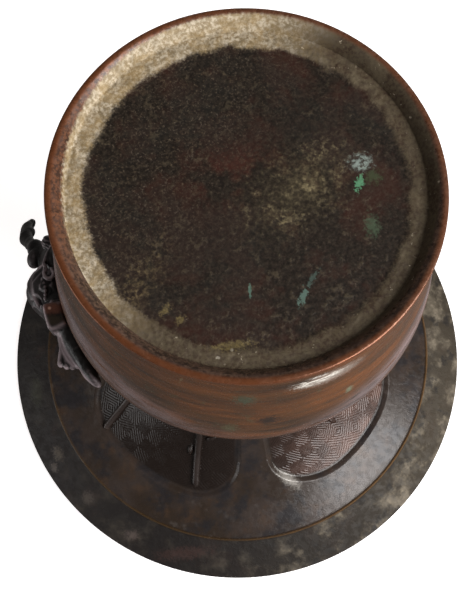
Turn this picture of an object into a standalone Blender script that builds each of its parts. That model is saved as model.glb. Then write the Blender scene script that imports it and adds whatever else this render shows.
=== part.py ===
"""Bronze incense burner with a lion clinging to its shoulder, standing on its foot.

Metres, +Z up, origin at the centre of the foot's underside. The wide mouth is at
the top. The lion sits on the +X side with its head towards -Y and its tail towards +Y.
"""

from math import cos, hypot, pi, radians, sin, sqrt

import bmesh
import bpy
import numpy as np

# Vessel: heights are from the foot's underside, drops are from the rim
HEIGHT = 0.2312
RIM_RADIUS = 0.1250
RIDGE_RADIUS = 0.1053
RIDGE_DROP = 0.0126
RIDGE_RAISE = 0.0010
RIDGE_HALF_WIDTH = 0.0011
PANEL_RADIUS = 0.0852
PANEL_DROP = 0.0197
WAIST_RADIUS = 0.0430
WAIST_HEIGHT = 0.1460
BELLY_RADIUS = 0.0711
BELLY_HEIGHT = 0.0623
FOOT_RADIUS = 0.0629
FOOT_ROUND = 0.0006
FOOT_LAND = 0.0015
WALL = 0.0040

# Directions of the profile at its stations, as angles up from the horizontal
FOOT_LEAN = radians(87)
UPRIGHT = radians(90)
PANEL_SLOPE = radians(25)
RIDGE_SLOPE = radians(20)
RIM_SLOPE = radians(25)
HANDLE = 0.36
FOOT_HANDLE = 0.50
BELLY_HANDLE = 0.20
SHOULDER_HANDLE = 0.29
WAIST_HANDLE = 0.46
FINE_STEPS = 80
FINE_RUN = 0.0005

# Recessed panels on the flare, between four plain lands
PANELS = 4
LAND_WIDTH = 0.0222
PANEL_LENGTH = 0.0640
PANEL_CORNER_LENGTH = 0.0210
PANEL_CORNER_WIDTHS = (0.0340, 0.0340, 0.0400, 0.0270)
PANEL_DEPTH = 0.0016
SIDES = 48

# Raised stem, twig and leaves inside the panels: angle round the vessel, length in
# from the panels' outer edge, and for a leaf the way that it points
STEM_ANGLES = (radians(-67.0), radians(-60.5))
TWIG_ANGLES = (radians(-26.5), radians(-21.5))
STEM_WIDTH = 0.0030
STEM_TIP_WIDTH = 0.0010
STEM_TAPER = 0.2
STEM_RISE = 0.0008
STEM_ROOT = 0.0006
STEM_START = 0.0042
STEM_END = 0.0440
TWIG_START = -0.0006
TWIG_END = 0.0260
LEAF_LENGTH = 0.0068
LEAF_WIDTH = 0.0030
LEAF_RISE = 0.0012
LEAVES = (
    (radians(-60.4), 0.0225, radians(12)),
    (radians(-68.4), 0.0330, radians(-60)),
    (radians(-131.3), 0.0215, radians(20)),
)

# Foot recess and the plate let into it
SEAT_RADIUS = 0.0575
SEAT_DEPTH = 0.0046
PLATE_THICKNESS = 0.0034
PLATE_HOLLOW = 0.0007
SOLDER_WIDTH = 0.0076
LEDGE_WIDTH = 0.0035
LEDGE_THICKNESS = 0.0030
FLOOR_FILLET = 0.0070
CLEARANCE = 0.0003

# Lion: its points are in hundredths of its length, round from the lion's middle,
# outwards from the belly's widest circle, and up from the lion's own height
LION_LENGTH = 0.1000
LION_ANGLE = 0.0
LION_HEIGHT = 0.0900
LION_GAP = 0.0004
LION_GRID = 1.2
LION_TRIANGLES = 2400

BRONZE_BROWN = (0.085, 0.052, 0.030, 1.0)
BRONZE_BLACK = (0.035, 0.030, 0.026, 1.0)
WORN_METAL = 0.75
BRONZE_ROUGHNESS = 0.45
SHARP_EDGE = radians(35)


def clear_scene():
    """Remove every object that the file opened with."""
    for item in list(bpy.data.objects):
        bpy.data.objects.remove(item, do_unlink=True)


def bronze(name, colour):
    """A plain bronze material of one colour."""
    material = bpy.data.materials.new(name)
    material.use_nodes = True
    shader = material.node_tree.nodes["Principled BSDF"]
    shader.inputs["Base Color"].default_value = colour
    shader.inputs["Metallic"].default_value = WORN_METAL
    shader.inputs["Roughness"].default_value = BRONZE_ROUGHNESS
    return material


def make_object(name, vertices, faces, material):
    """A new object at the origin from points and faces, with its faces pointing out."""
    mesh = bpy.data.meshes.new(name)
    mesh.from_pydata([tuple(point) for point in vertices], [], [tuple(face) for face in faces])
    shape = bmesh.new()
    shape.from_mesh(mesh)
    bmesh.ops.recalc_face_normals(shape, faces=shape.faces)
    shape.to_mesh(mesh)
    shape.free()
    mesh.materials.append(material)
    mesh.shade_smooth()
    mesh.set_sharp_from_angle(angle=SHARP_EDGE)
    item = bpy.data.objects.new(name, mesh)
    bpy.context.scene.collection.objects.link(item)
    return item


def bow(start, start_angle, end, end_angle, count, handle=HANDLE, end_handle=None):
    """Points on a cubic arc between two stations, each with its own direction and hold."""
    start = np.array(start)
    end = np.array(end)
    reach = np.linalg.norm(end - start)
    first = start + handle * reach * np.array([cos(start_angle), sin(start_angle)])
    second = end - (end_handle or handle) * reach * np.array([cos(end_angle), sin(end_angle)])
    t = np.linspace(0.0, 1.0, count)[:, None]
    return ((1 - t) ** 3 * start + 3 * t * (1 - t) ** 2 * first
            + 3 * t ** 2 * (1 - t) * second + t ** 3 * end)


def along(path, lengths):
    """Points at the given lengths along a path, from its first point."""
    steps = np.linalg.norm(np.diff(path, axis=0), axis=1)
    total = np.concatenate([[0.0], np.cumsum(steps)])
    return np.column_stack([np.interp(lengths, total, path[:, k]) for k in (0, 1)])


def path_length(path):
    """Length of a path."""
    return float(np.linalg.norm(np.diff(path, axis=0), axis=1).sum())


def offset(path, distance):
    """A path moved sideways, to the left of its own direction."""
    run = np.gradient(path, axis=0)
    run = run / np.linalg.norm(run, axis=1)[:, None]
    return path + distance * np.column_stack([-run[:, 1], run[:, 0]])


FOOT = (FOOT_RADIUS, FOOT_ROUND)
BELLY = (BELLY_RADIUS, BELLY_HEIGHT)
WAIST = (WAIST_RADIUS, WAIST_HEIGHT)
PANEL = (PANEL_RADIUS, HEIGHT - PANEL_DROP)
RIDGE = (RIDGE_RADIUS, HEIGHT - RIDGE_DROP)
RIM = (RIM_RADIUS, HEIGHT - WALL * cos(RIM_SLOPE))


def lower_wall(count):
    """Outer profile from the foot up to the belly's widest circle."""
    return bow(FOOT, FOOT_LEAN, BELLY, UPRIGHT, count, FOOT_HANDLE, BELLY_HANDLE)


def shoulder(count):
    """Outer profile from the belly up to the waist, an S between two upright ends."""
    return bow(BELLY, UPRIGHT, WAIST, UPRIGHT, count, SHOULDER_HANDLE, WAIST_HANDLE)


def flare(count):
    """Outer profile from the waist out to the panels' outer edge."""
    return bow(WAIST, UPRIGHT, PANEL, PANEL_SLOPE, count, WAIST_HANDLE)


def fine_outline():
    """Outer profile from the foot to the panels' edge as many short steps."""
    return np.vstack([lower_wall(FINE_STEPS), shoulder(FINE_STEPS)[1:], flare(FINE_STEPS)[1:]])


def ring_of(radius, height, angles):
    """One closed row of points round the axis."""
    return np.column_stack([radius * np.cos(angles), radius * np.sin(angles),
                            np.broadcast_to(height, angles.shape)])


def body_profile():
    """The body's closed section: up the outside, over the rim and down the inside."""
    foot = np.array([[FOOT_RADIUS - FOOT_LAND, 0.0], [FOOT_RADIUS - FOOT_ROUND, 0.0]])
    band = bow(PANEL, PANEL_SLOPE, RIDGE, RIDGE_SLOPE, 3)
    brim = bow(RIDGE, RIDGE_SLOPE, RIM, RIM_SLOPE, 3)
    run = np.array([cos(RIDGE_SLOPE), sin(RIDGE_SLOPE)]) * RIDGE_HALF_WIDTH
    crest = RIDGE + np.array([sin(RIDGE_SLOPE), -cos(RIDGE_SLOPE)]) * RIDGE_RAISE
    ridge = np.array([RIDGE - run, crest, RIDGE + run])
    return np.vstack([foot, lower_wall(8), shoulder(9)[1:], flare(10)[1:], band[1:-1], ridge,
                      brim[1:], inner_outline()])


def flare_point(angle, length, lift):
    """A point on the flare, by angle, length in from the panels' edge and height off the land."""
    band = bow(PANEL, PANEL_SLOPE, RIDGE, RIDGE_SLOPE, FINE_STEPS)
    path = np.vstack([flare(FINE_STEPS), band[1:]])[::-1]
    edge = path_length(band)
    here, ahead = along(path, [edge + length, edge + length + FINE_RUN])
    run = (ahead - here) / np.linalg.norm(ahead - here)
    radius, height = here + lift * np.array([-run[1], run[0]])
    return np.array([radius * cos(angle), radius * sin(angle), height])


def panel_half_angle(length, corner_width):
    """Half a panel's width as an angle: full, less a quarter ellipse at the outer corners."""
    full = pi / PANELS - 0.5 * LAND_WIDTH / PANEL_RADIUS
    into = min(1.0, max(0.0, 1 - length / PANEL_CORNER_LENGTH))
    return full - corner_width / PANEL_RADIUS * (1 - sqrt(1 - into ** 2))


def panel_shape(middle, corner_width):
    """A closed cutter for one panel: its ground under the land, its top clear above it."""
    rounded = PANEL_CORNER_LENGTH * (1 - np.cos(np.linspace(0, pi / 2, 6)))
    lengths = np.concatenate([rounded, np.linspace(PANEL_CORNER_LENGTH, PANEL_LENGTH, 5)[1:]])
    halves = [panel_half_angle(length, corner_width) for length in lengths]
    shares = np.linspace(-1.0, 1.0, 11)
    clear = 2 * PANEL_DEPTH
    layers = []
    for lift in (-PANEL_DEPTH, clear):
        layers.append([flare_point(middle + share * half, length, lift)
                       for length, half in zip(lengths, halves) for share in shares])
    rows, columns = len(lengths), len(shares)
    under = grid_faces(rows, columns, closed_rows=False, closed_columns=False)
    shift = rows * columns
    over = [tuple(corner + shift for corner in face[::-1]) for face in under]
    rim = list(range(columns)) + [row * columns + columns - 1 for row in range(1, rows)]
    rim += list(range(rows * columns - 2, (rows - 1) * columns - 1, -1))
    rim += [row * columns for row in range(rows - 2, 0, -1)]
    sides = [(here, there, there + shift, here + shift) for here, there in zip(rim, rim[1:] + rim[:1])]
    return np.vstack(layers), under + over + sides


def inner_outline():
    """Inside profile from the rim down to the foot, a wall's thickness in from the outside."""
    band = bow(PANEL, PANEL_SLOPE, RIDGE, RIDGE_SLOPE, 2)
    brim = bow(RIDGE, RIDGE_SLOPE, RIM, RIM_SLOPE, 3)
    outside = np.vstack([lower_wall(6)[1:], shoulder(7)[1:], flare(8)[1:], band[1:], brim[1:]])
    inside = offset(outside, WALL)
    floor = SEAT_DEPTH + PLATE_THICKNESS + CLEARANCE + LEDGE_THICKNESS
    wall = inside[inside[:, 1] > floor + FLOOR_FILLET][::-1]
    ledge = SEAT_RADIUS - LEDGE_WIDTH
    seat_top = SEAT_DEPTH + PLATE_THICKNESS + CLEARANCE
    corner = wall[-1]
    turn = bow((corner[0], corner[1]), -UPRIGHT, (ledge, floor), -pi, 4, 0.45)
    seat = np.array([[ledge, seat_top], [SEAT_RADIUS, seat_top], [SEAT_RADIUS, SEAT_DEPTH]])
    return np.vstack([wall, turn[1:], seat])


def grid_faces(rows, columns, closed_rows=True, closed_columns=True):
    """Quads between neighbouring rings, the last joined to the first where closed."""
    faces = []
    for row in range(rows if closed_rows else rows - 1):
        upper = (row + 1) % rows
        for column in range(columns if closed_columns else columns - 1):
            nearby = (column + 1) % columns
            faces.append((row * columns + column, row * columns + nearby,
                          upper * columns + nearby, upper * columns + column))
    return faces


def stem_shape(start, end, angles, steps=7):
    """A round-backed bar up the flare, from one length to the other, sunk into the ground."""
    sides = 6
    points = []
    for step in range(steps):
        share = step / (steps - 1)
        length = start + share * (end - start)
        angle = angles[0] + share * (angles[1] - angles[0])
        narrow = max(0.0, 1 - share / STEM_TAPER)
        width = 0.5 * max(STEM_TIP_WIDTH, STEM_WIDTH * sqrt(1 - narrow ** 2))
        radius = hypot(*flare_point(angle, length, 0.0)[:2])
        for side in range(sides):
            turn = pi * side / (sides - 1)
            across = width * cos(turn) / radius
            lift = STEM_RISE * sin(turn) - (PANEL_DEPTH + STEM_ROOT) * (1 - sin(turn))
            points.append(flare_point(angle + across, length, lift))
    faces = grid_faces(steps, sides, closed_rows=False)
    faces.append(tuple(range(sides)))
    faces.append(tuple(range((steps - 1) * sides, steps * sides)))
    return points, faces


def leaf_shape(angle, length, turn):
    """A small pointed leaf on the panel's ground, its length set at an angle to the flare."""
    rings = 5
    sides = 8
    points = []
    for ring in range(1, rings):
        swell = sin(pi * ring / rings) ** 0.8
        place = LEAF_LENGTH * (ring / rings - 0.5)
        for side in range(sides):
            around = 2 * pi * side / sides
            across = 0.5 * LEAF_WIDTH * swell * cos(around)
            lift = LEAF_RISE * swell * sin(around) - PANEL_DEPTH
            run = place * cos(turn) - across * sin(turn)
            slide = place * sin(turn) + across * cos(turn)
            radius = hypot(*flare_point(angle, length + run, 0.0)[:2])
            points.append(flare_point(angle + slide / radius, length + run, lift))
    count = rings - 1
    faces = grid_faces(count, sides, closed_rows=False)
    faces.append(tuple(range(sides)))
    faces.append(tuple(range((count - 1) * sides, count * sides)))
    return points, faces


def combine(item, helper, operation):
    """Cut a helper shape from an object, or fuse it on, with an exact Boolean."""
    helper.hide_render = True
    helper.display_type = "WIRE"
    step = item.modifiers.new(helper.name, "BOOLEAN")
    step.operation = operation
    step.solver = "EXACT"
    step.object = helper


def make_body(material):
    """The cast vessel, open at the mouth and under the foot, with its sunk panels."""
    profile = body_profile()
    angles = np.arange(SIDES) * 2 * pi / SIDES
    rings = np.vstack([ring_of(radius, height, angles) for radius, height in profile])
    body = make_object("body", rings, grid_faces(len(profile), SIDES), material)
    for number, corner_width in zip(range(PANELS), PANEL_CORNER_WIDTHS):
        points, faces = panel_shape((2 * number + 1) * pi / PANELS, corner_width)
        combine(body, make_object(f"panel_{number}", points, faces, material), "DIFFERENCE")
    reliefs = [stem_shape(STEM_START, STEM_END, STEM_ANGLES),
               stem_shape(TWIG_START, TWIG_END, TWIG_ANGLES)]
    reliefs += [leaf_shape(*leaf) for leaf in LEAVES]
    for number, (points, faces) in enumerate(reliefs):
        combine(body, make_object(f"relief_{number}", points, faces, material), "UNION")
    return body


def make_base_plate(material):
    """The flat plate let into the foot from below, with a low bank of solder round it."""
    angles = np.arange(SIDES) * 2 * pi / SIDES
    radius = SEAT_RADIUS - CLEARANCE
    hollow = radius - SOLDER_WIDTH
    under = SEAT_DEPTH
    profile = [(hollow * 0.5, under + PLATE_HOLLOW), (hollow, under + PLATE_HOLLOW),
               (radius - 0.55 * SOLDER_WIDTH, under), (radius, under),
               (radius, under + PLATE_THICKNESS), (hollow, under + PLATE_THICKNESS)]
    rings = np.vstack([ring_of(r, z, angles) for r, z in profile])
    faces = grid_faces(len(profile), SIDES, closed_rows=False)
    faces.append(tuple(range(SIDES)))
    faces.append(tuple(range((len(profile) - 1) * SIDES, len(profile) * SIDES)))
    return make_object("base_plate", rings, faces, material)


def ball(at, centre, size):
    """Distance to an ellipsoid, near enough close to its surface."""
    gap = at - np.array(centre)
    scaled = np.linalg.norm(gap / size, axis=-1)
    steep = np.linalg.norm(gap / np.array(size) ** 2, axis=-1)
    return scaled * (scaled - 1.0) / np.maximum(steep, 1e-6)


def limb(at, points, radii):
    """Distance to a chain of tapered rods with round joints."""
    best = None
    for start, end, thick, thin in zip(points, points[1:], radii, radii[1:]):
        start = np.array(start, float)
        run = np.array(end, float) - start
        share = np.clip((at - start) @ run / (run @ run), 0.0, 1.0)
        gap = np.linalg.norm(at - start - share[..., None] * run, axis=-1)
        gap = gap - (thick + (thin - thick) * share)
        best = gap if best is None else np.minimum(best, gap)
    return best


def block(at, centre, half, rounding):
    """Distance to a rounded block."""
    gap = np.abs(at - np.array(centre)) - (np.array(half) - rounding)
    outside = np.linalg.norm(np.maximum(gap, 0.0), axis=-1)
    return outside + np.minimum(gap.max(axis=-1), 0.0) - rounding


def blend(first, second, soft):
    """Union of two distances with a soft joint."""
    mix = np.maximum(soft - np.abs(first - second), 0.0) / soft
    return np.minimum(first, second) - mix * mix * soft * 0.25


def blend_all(distances, soft):
    """Union of many distances with soft joints."""
    total = distances[0]
    for distance in distances[1:]:
        total = blend(total, distance, soft)
    return total


def lion_body(at):
    """Trunk with high rump and deep chest, and the four bent legs."""
    trunk = limb(at, [(-16, 7, 14), (-6, 7.5, 13), (2, 5, 7)], [9.0, 8.6, 9.0])
    outer_thigh = limb(at, [(-17, 5.6, 11), (-13.5, 4.8, 1)], [9.0, 6.4])
    outer_shin = limb(at, [(-12.5, 4.5, -1), (-19, 2, -6), (-16, 0.8, -13)], [4.6, 3.6, 3.0])
    outer_hock = ball(at, (-13, 0.6, -14.5), (5.6, 3.8, 3.2))
    inner_thigh = limb(at, [(-17, 3, 14), (-13, -6, 12), (-18, -12, 13)], [8.0, 5.2, 3.8])
    inner_hock = ball(at, (-14, -14, 14), (5.4, 4.0, 4.0))
    foreleg = limb(at, [(5, 4, 1), (16, 2.0, -6), (27, 1.6, -10), (36, 1.8, -12)],
                   [6.6, 4.8, 3.9, 3.0])
    paw = ball(at, (39.4, 2.6, -12.6), (4.4, 2.2, 3.6))
    inner_foreleg = limb(at, [(6, 2, 6), (13, -6, 10), (20, -14, 11)], [6.4, 4.4, 3.4])
    inner_paw = ball(at, (22, -15, 11), (5.0, 4.2, 3.8))
    legs = [outer_thigh, outer_shin, outer_hock, inner_thigh, inner_hock,
            foreleg, paw, inner_foreleg, inner_paw]
    return blend_all([trunk] + legs, 2.6)


def lion_head(at):
    """Head turned down, with a square muzzle, brows, ears and a heavy mane."""
    skull = ball(at, (5.8, 3.2, 1.5), (8.8, 7.6, 9.0))
    muzzle = block(at, (11.5, 5.5, -8.6), (4.9, 3.7, 6.0), 1.2)
    jaw = block(at, (7.0, 2.6, -5.5), (3.2, 4.6, 3.6), 1.4)
    brow = limb(at, [(2.0, 9.8, -1.0), (6.5, 9.6, -2.4), (11.0, 7.0, -1.6)], [1.6, 1.5, 1.5])
    mane = ball(at, (-3.6, 7.2, 6.2), (9.6, 11.4, 10.6))
    lock = ball(at, (-6.0, 13.6, 10.0), (6.6, 5.4, 6.6))
    ear = limb(at, [(-0.6, 12.4, 3.4), (-1.2, 15.4, 7.4)], [2.6, 1.2])
    far_ear = limb(at, [(11.0, 3.0, 8.0), (13.8, 3.4, 12.0)], [2.4, 1.2])
    head = blend_all([skull, muzzle, jaw, brow], 1.2)
    return blend_all([head, mane, lock, ear, far_ear], 1.6)


def lion_tail(at):
    """Raised tail: fat curls at its root and a flame of lobes above a narrow stem."""
    root = limb(at, [(-18, 10, 13), (-21.6, 18.5, 18), (-25.3, 26.2, 27)], [4.4, 3.4, 2.0])
    knob = limb(at, [(-20.4, 8.0, 2), (-21.0, 11.0, 2)], [2.8, 2.8])
    curl = ball(at, (-22.2, 21.0, 18.0), (3.2, 3.0, 3.0))
    second_curl = ball(at, (-18.0, 19.2, 16.0), (3.5, 3.2, 3.4))
    flame = limb(at, [(-25.3, 26.2, 27), (-28.1, 30.5, 31.5), (-31.5, 32.8, 35.5), (-34.8, 34.0, 40)],
                 [2.0, 2.8, 2.7, 1.4])
    lobe = ball(at, (-30.3, 29.6, 33.0), (1.8, 1.8, 2.2))
    high_lobe = ball(at, (-34.2, 32.6, 38.0), (1.6, 1.4, 2.2))
    return blend_all([root, knob, curl, second_curl, flame, lobe, high_lobe], 1.0)


def lion_tufts(at):
    """Flame tuft of ribs at the elbow, and the scrolled lower edge of the haunch."""
    tips = [(28.0, 10.3, -9.5), (29.8, 8.6, -9.8), (31.0, 6.8, -10.0), (31.8, 4.9, -10.2)]
    bends = [(22.9, 7.3, -8.5), (23.6, 6.3, -8.8), (24.6, 5.7, -9.0), (25.8, 4.8, -9.2)]
    ribs = [limb(at, [(15.8, 6.2, -6.6), bend, tip], [0.9, 1.0, 1.2])
            for bend, tip in zip(bends, tips)]
    angles = np.linspace(0.2 * pi, 1.8 * pi, 8)
    sweep = [(-7.2 - 2.5 * cos(angle), 6.6 + 2.5 * sin(angle), -5.4) for angle in angles]
    outline = [(-22.4, 4.6, -2), (-18.6, 7.4, -3), (-14.8, 8.8, -4.2), (-11.8, 9.2, -5.0)]
    scroll = limb(at, outline + sweep, [1.1] * (len(outline) + len(sweep)))
    return np.minimum(blend_all(ribs, 0.6), scroll)


def lion_surface(at):
    """Distance to the whole lion, cut to stand just clear of the vessel."""
    figure = blend(lion_body(at), lion_head(at), 2.0)
    figure = blend(figure, lion_tail(at), 1.6)
    figure = blend(figure, lion_tufts(at), 0.8)
    return np.maximum(figure, -vessel_gap(at))


def vessel_gap(at):
    """Distance from the vessel's outside, in the lion's own units, less the gap kept."""
    unit = LION_LENGTH / 100
    outline = (fine_outline() - np.array([BELLY_RADIUS, LION_HEIGHT])) / unit
    heights = np.unique(at[..., 2])
    radii = np.interp(heights, outline[:, 1], outline[:, 0])
    slope = np.gradient(radii, heights)
    clear = at[..., 1] - np.interp(at[..., 2], heights, radii)
    return clear / np.sqrt(1 + np.interp(at[..., 2], heights, slope) ** 2) - LION_GAP / unit


def skin(distance, low, step):
    """Closed triangle mesh of a distance field's zero level.

    Each grid cube is cut into six tetrahedra round its long diagonal, and each
    tetrahedron that the surface crosses gives one triangle or two.
    """
    shape = np.array(distance.shape)
    index = np.arange(distance.size).reshape(distance.shape)
    flat = np.where(np.abs(distance.ravel()) < 1e-5, 1e-5, distance.ravel())
    strides = [index[1, 0, 0], index[0, 1, 0], index[0, 0, 1]]
    corner = index[:-1, :-1, :-1].ravel()
    pairs = []
    for first, second, third in ((0, 1, 2), (1, 2, 0), (2, 0, 1), (0, 2, 1), (2, 1, 0), (1, 0, 2)):
        mirrored = (first, second, third) in ((0, 2, 1), (2, 1, 0), (1, 0, 2))
        tetra = [corner, corner + strides[first], corner + strides[first] + strides[second],
                 corner + sum(strides)]
        if mirrored:
            tetra[1], tetra[2] = tetra[2], tetra[1]
        tetra = np.column_stack(tetra)
        inside = flat[tetra] < 0
        code = inside @ np.array([1, 2, 4, 8])
        for pattern, triangles in TETRA_CASES.items():
            hit = tetra[code == pattern]
            for edges in triangles:
                pairs.append(np.stack([hit[:, list(edge)] for edge in edges], axis=1))
    pairs = np.sort(np.concatenate(pairs).reshape(-1, 2), axis=1)
    unique, inverse = np.unique(pairs, axis=0, return_inverse=True)
    near, far = flat[unique[:, 0]], flat[unique[:, 1]]
    share = np.clip(near / (near - far), 0.04, 0.96)[:, None]
    first = np.column_stack(np.unravel_index(unique[:, 0], shape))
    second = np.column_stack(np.unravel_index(unique[:, 1], shape))
    points = np.array(low) + step * (first + share * (second - first))
    return points, inverse.reshape(-1, 3)


def tetra_cases():
    """Triangles of each crossing of a tetrahedron, as pairs of its corners, facing out."""
    cases = {}
    for lone in range(4):
        rest = [corner for corner in range(4) if corner != lone]
        turned = rest if lone in (0, 2) else rest[::-1]
        triangle = [(lone, corner) for corner in turned]
        cases[1 << lone] = [triangle]
        cases[15 - (1 << lone)] = [triangle[::-1]]
    for a, b, c, d in ((0, 1, 2, 3), (0, 2, 3, 1), (0, 3, 1, 2)):
        loop = [(a, c), (a, d), (b, d), (b, c)]
        cases[(1 << a) + (1 << b)] = [[loop[0], loop[1], loop[2]], [loop[0], loop[2], loop[3]]]
        cases[(1 << c) + (1 << d)] = [[loop[2], loop[1], loop[0]], [loop[3], loop[2], loop[0]]]
    return cases


TETRA_CASES = tetra_cases()
LION_LOW = (-42.0, -26.0, -22.0)
LION_HIGH = (50.0, 40.0, 52.0)


def lion_to_world(points):
    """Bend the lion round the vessel: round, out and up become a place in metres."""
    unit = LION_LENGTH / 100
    angle = LION_ANGLE - points[:, 0] * unit / BELLY_RADIUS
    radius = BELLY_RADIUS + points[:, 1] * unit
    return np.column_stack([radius * np.cos(angle), radius * np.sin(angle),
                            LION_HEIGHT + points[:, 2] * unit])


def largest_shell(points, triangles):
    """Only the biggest connected piece of a mesh, so that no crumb is left loose."""
    label = np.arange(len(points))
    while True:
        lowest = label[triangles].min(axis=1)
        renewed = label.copy()
        np.minimum.at(renewed, triangles.ravel(), np.repeat(lowest, 3))
        renewed = renewed[renewed]
        if np.array_equal(renewed, label):
            break
        label = renewed
    names, counts = np.unique(label[triangles[:, 0]], return_counts=True)
    kept = triangles[label[triangles[:, 0]] == names[counts.argmax()]]
    used, inverse = np.unique(kept, return_inverse=True)
    return points[used], inverse.reshape(-1, 3)


def make_lion(material):
    """The lion, cast on its own and fixed to the vessel's shoulder."""
    axes = [np.arange(low, high, LION_GRID) for low, high in zip(LION_LOW, LION_HIGH)]
    at = np.stack(np.meshgrid(*axes, indexing="ij"), axis=-1)
    points, triangles = skin(lion_surface(at), LION_LOW, LION_GRID)
    points, triangles = largest_shell(points, triangles)
    lion = make_object("lion", lion_to_world(points), triangles, material)
    thin = lion.modifiers.new("fewer_faces", "DECIMATE")
    thin.ratio = LION_TRIANGLES / len(triangles)
    return lion


def main():
    """Build every piece."""
    clear_scene()
    make_body(bronze("bronze_body", BRONZE_BROWN))
    make_base_plate(bronze("bronze_base_plate", BRONZE_BLACK))
    make_lion(bronze("bronze_lion", BRONZE_BLACK))


main()
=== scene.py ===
"""Looks of the bronze incense burner with a lion on its shoulder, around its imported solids.

Metres, +Z up, origin at the centre of the foot's underside. The camera looks up from
under the floor's level onto the foot. A place on the vessel's outside is given by a
length along its profile, an angle round the axis and a lift off the plain surface.
"""

from math import cos, pi, radians, sin

import bpy
import numpy as np
from mathutils import Matrix, Vector


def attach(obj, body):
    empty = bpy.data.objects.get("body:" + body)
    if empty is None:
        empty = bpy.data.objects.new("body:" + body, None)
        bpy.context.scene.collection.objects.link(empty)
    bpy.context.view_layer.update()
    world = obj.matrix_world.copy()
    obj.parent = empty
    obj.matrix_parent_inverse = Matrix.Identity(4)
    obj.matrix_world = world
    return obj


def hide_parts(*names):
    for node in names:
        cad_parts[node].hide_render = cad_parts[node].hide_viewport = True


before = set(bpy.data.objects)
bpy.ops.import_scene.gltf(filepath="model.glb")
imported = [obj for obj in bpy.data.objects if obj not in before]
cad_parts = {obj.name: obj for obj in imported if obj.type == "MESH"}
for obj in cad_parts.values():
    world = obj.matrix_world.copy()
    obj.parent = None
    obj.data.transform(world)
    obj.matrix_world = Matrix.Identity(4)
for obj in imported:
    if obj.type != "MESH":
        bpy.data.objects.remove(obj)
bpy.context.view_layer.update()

# Vessel, as in the solids
HEIGHT = 0.2312
RIM_RADIUS = 0.1250
RIDGE_RADIUS = 0.1053
RIDGE_DROP = 0.0126
RIDGE_RAISE = 0.0008
RIDGE_HALF_WIDTH = 0.0010
PANEL_RADIUS = 0.0852
PANEL_DROP = 0.0197
WAIST_RADIUS = 0.0430
WAIST_HEIGHT = 0.1460
BELLY_RADIUS = 0.0711
BELLY_HEIGHT = 0.0623
FOOT_RADIUS = 0.0629
FOOT_ROUND = 0.0006
FOOT_LAND = 0.0015
WALL = 0.0040
FOOT_LEAN = radians(87)
UPRIGHT = radians(90)
PANEL_SLOPE = radians(25)
RIDGE_SLOPE = radians(20)
RIM_SLOPE = radians(25)
HANDLE = 0.36
FOOT_HANDLE = 0.50
BELLY_HANDLE = 0.20
SHOULDER_HANDLE = 0.29
WAIST_HANDLE = 0.46
FLOOR_HANDLE = 0.45
FOOT_SLOPE = (radians(-62), radians(-25))
LAND_LEAN = radians(-5)

# Panels sunk in the flare
PANELS = 4
LAND_WIDTH = 0.0222
PANEL_LENGTH = 0.0640
PANEL_CORNER_LENGTH = 0.0210
PANEL_CORNER_WIDTHS = (0.0340, 0.0340, 0.0400, 0.0270)
PANEL_DEPTH = 0.0016
FILLET_OUT = 0.0024
FILLET_IN = 0.0008
ZONE_MARGIN = 0.0026
POCKET_DEPTH = 0.0026
POCKET_STEP = 0.00003
PATCH_BACK = 0.0002
PATTERN_ACROSS = 0.0190
PATTERN_ALONG = 0.0130
PATTERN_SHIFT = (0.0022, 0.0057)
PATTERN_LINES = 4
PATTERN_DEPTH = 0.00017
PATTERN_STEP = 0.00035
PATTERN_FADE = (0.0006, 0.0022)

# Rubbed lines and lines of painted shadow along a panel's outline, and how high its leaves are rubbed
RUBBED_EDGE = 0.0012
OUTLINE_SHADOW = (0.0008, 0.0013)
RUBBED_RISE = (0.0004, 0.0024)

# Stem, twig and leaves in the panels
STEM_ANGLES = (radians(-67.0), radians(-60.5))
TWIG_ANGLES = (radians(-26.5), radians(-21.5))
STEM_WIDTH = 0.0040
STEM_TAPER = 0.04
STEM_RISE = 0.0008
STEM_START = 0.0042
STEM_END = 0.0440
TWIG_START = -0.0006
TWIG_END = 0.0260
LEAF_LENGTH = 0.0068
LEAF_WIDTH = 0.0030
LEAF_RISE = 0.0012
LEAF_CREASE = 0.0005
LEAVES = (
    (radians(-60.4), 0.0225, radians(12)),
    (radians(-68.4), 0.0330, radians(-60)),
    (radians(-131.3), 0.0215, radians(20)),
)

# Foot recess and base plate
SEAT_RADIUS = 0.0575
SEAT_DEPTH = 0.0046
PLATE_THICKNESS = 0.0034
PLATE_HOLLOW = 0.0007
SOLDER_WIDTH = 0.0076
LEDGE_WIDTH = 0.0035
LEDGE_THICKNESS = 0.0030
FLOOR_FILLET = 0.0070
CLEARANCE = 0.0003
SEAM = 0.00001

# Bank of solder: the share of its width at full height, the share of the hollow that it fills,
# and the hollow kept under its grains, at its edge and anywhere
BANK_FULL = 0.55
BANK_FILL = 0.75
UNDER_GRAINS = 0.0001
EDGE_HOLLOW = 0.0001
LEAST_HOLLOW = 0.00002

# Layers of the random field on the plate: height, size and seed of each
BANK_WANDER = ((0.0010, 0.006, 5), (0.0004, 0.0017, 6))
SOLDER_GRAINS = ((0.00009, 0.0011, 11), (0.00006, 0.0006, 12))
DISC_SWELL = ((0.00005, 0.009, 3),)

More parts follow.
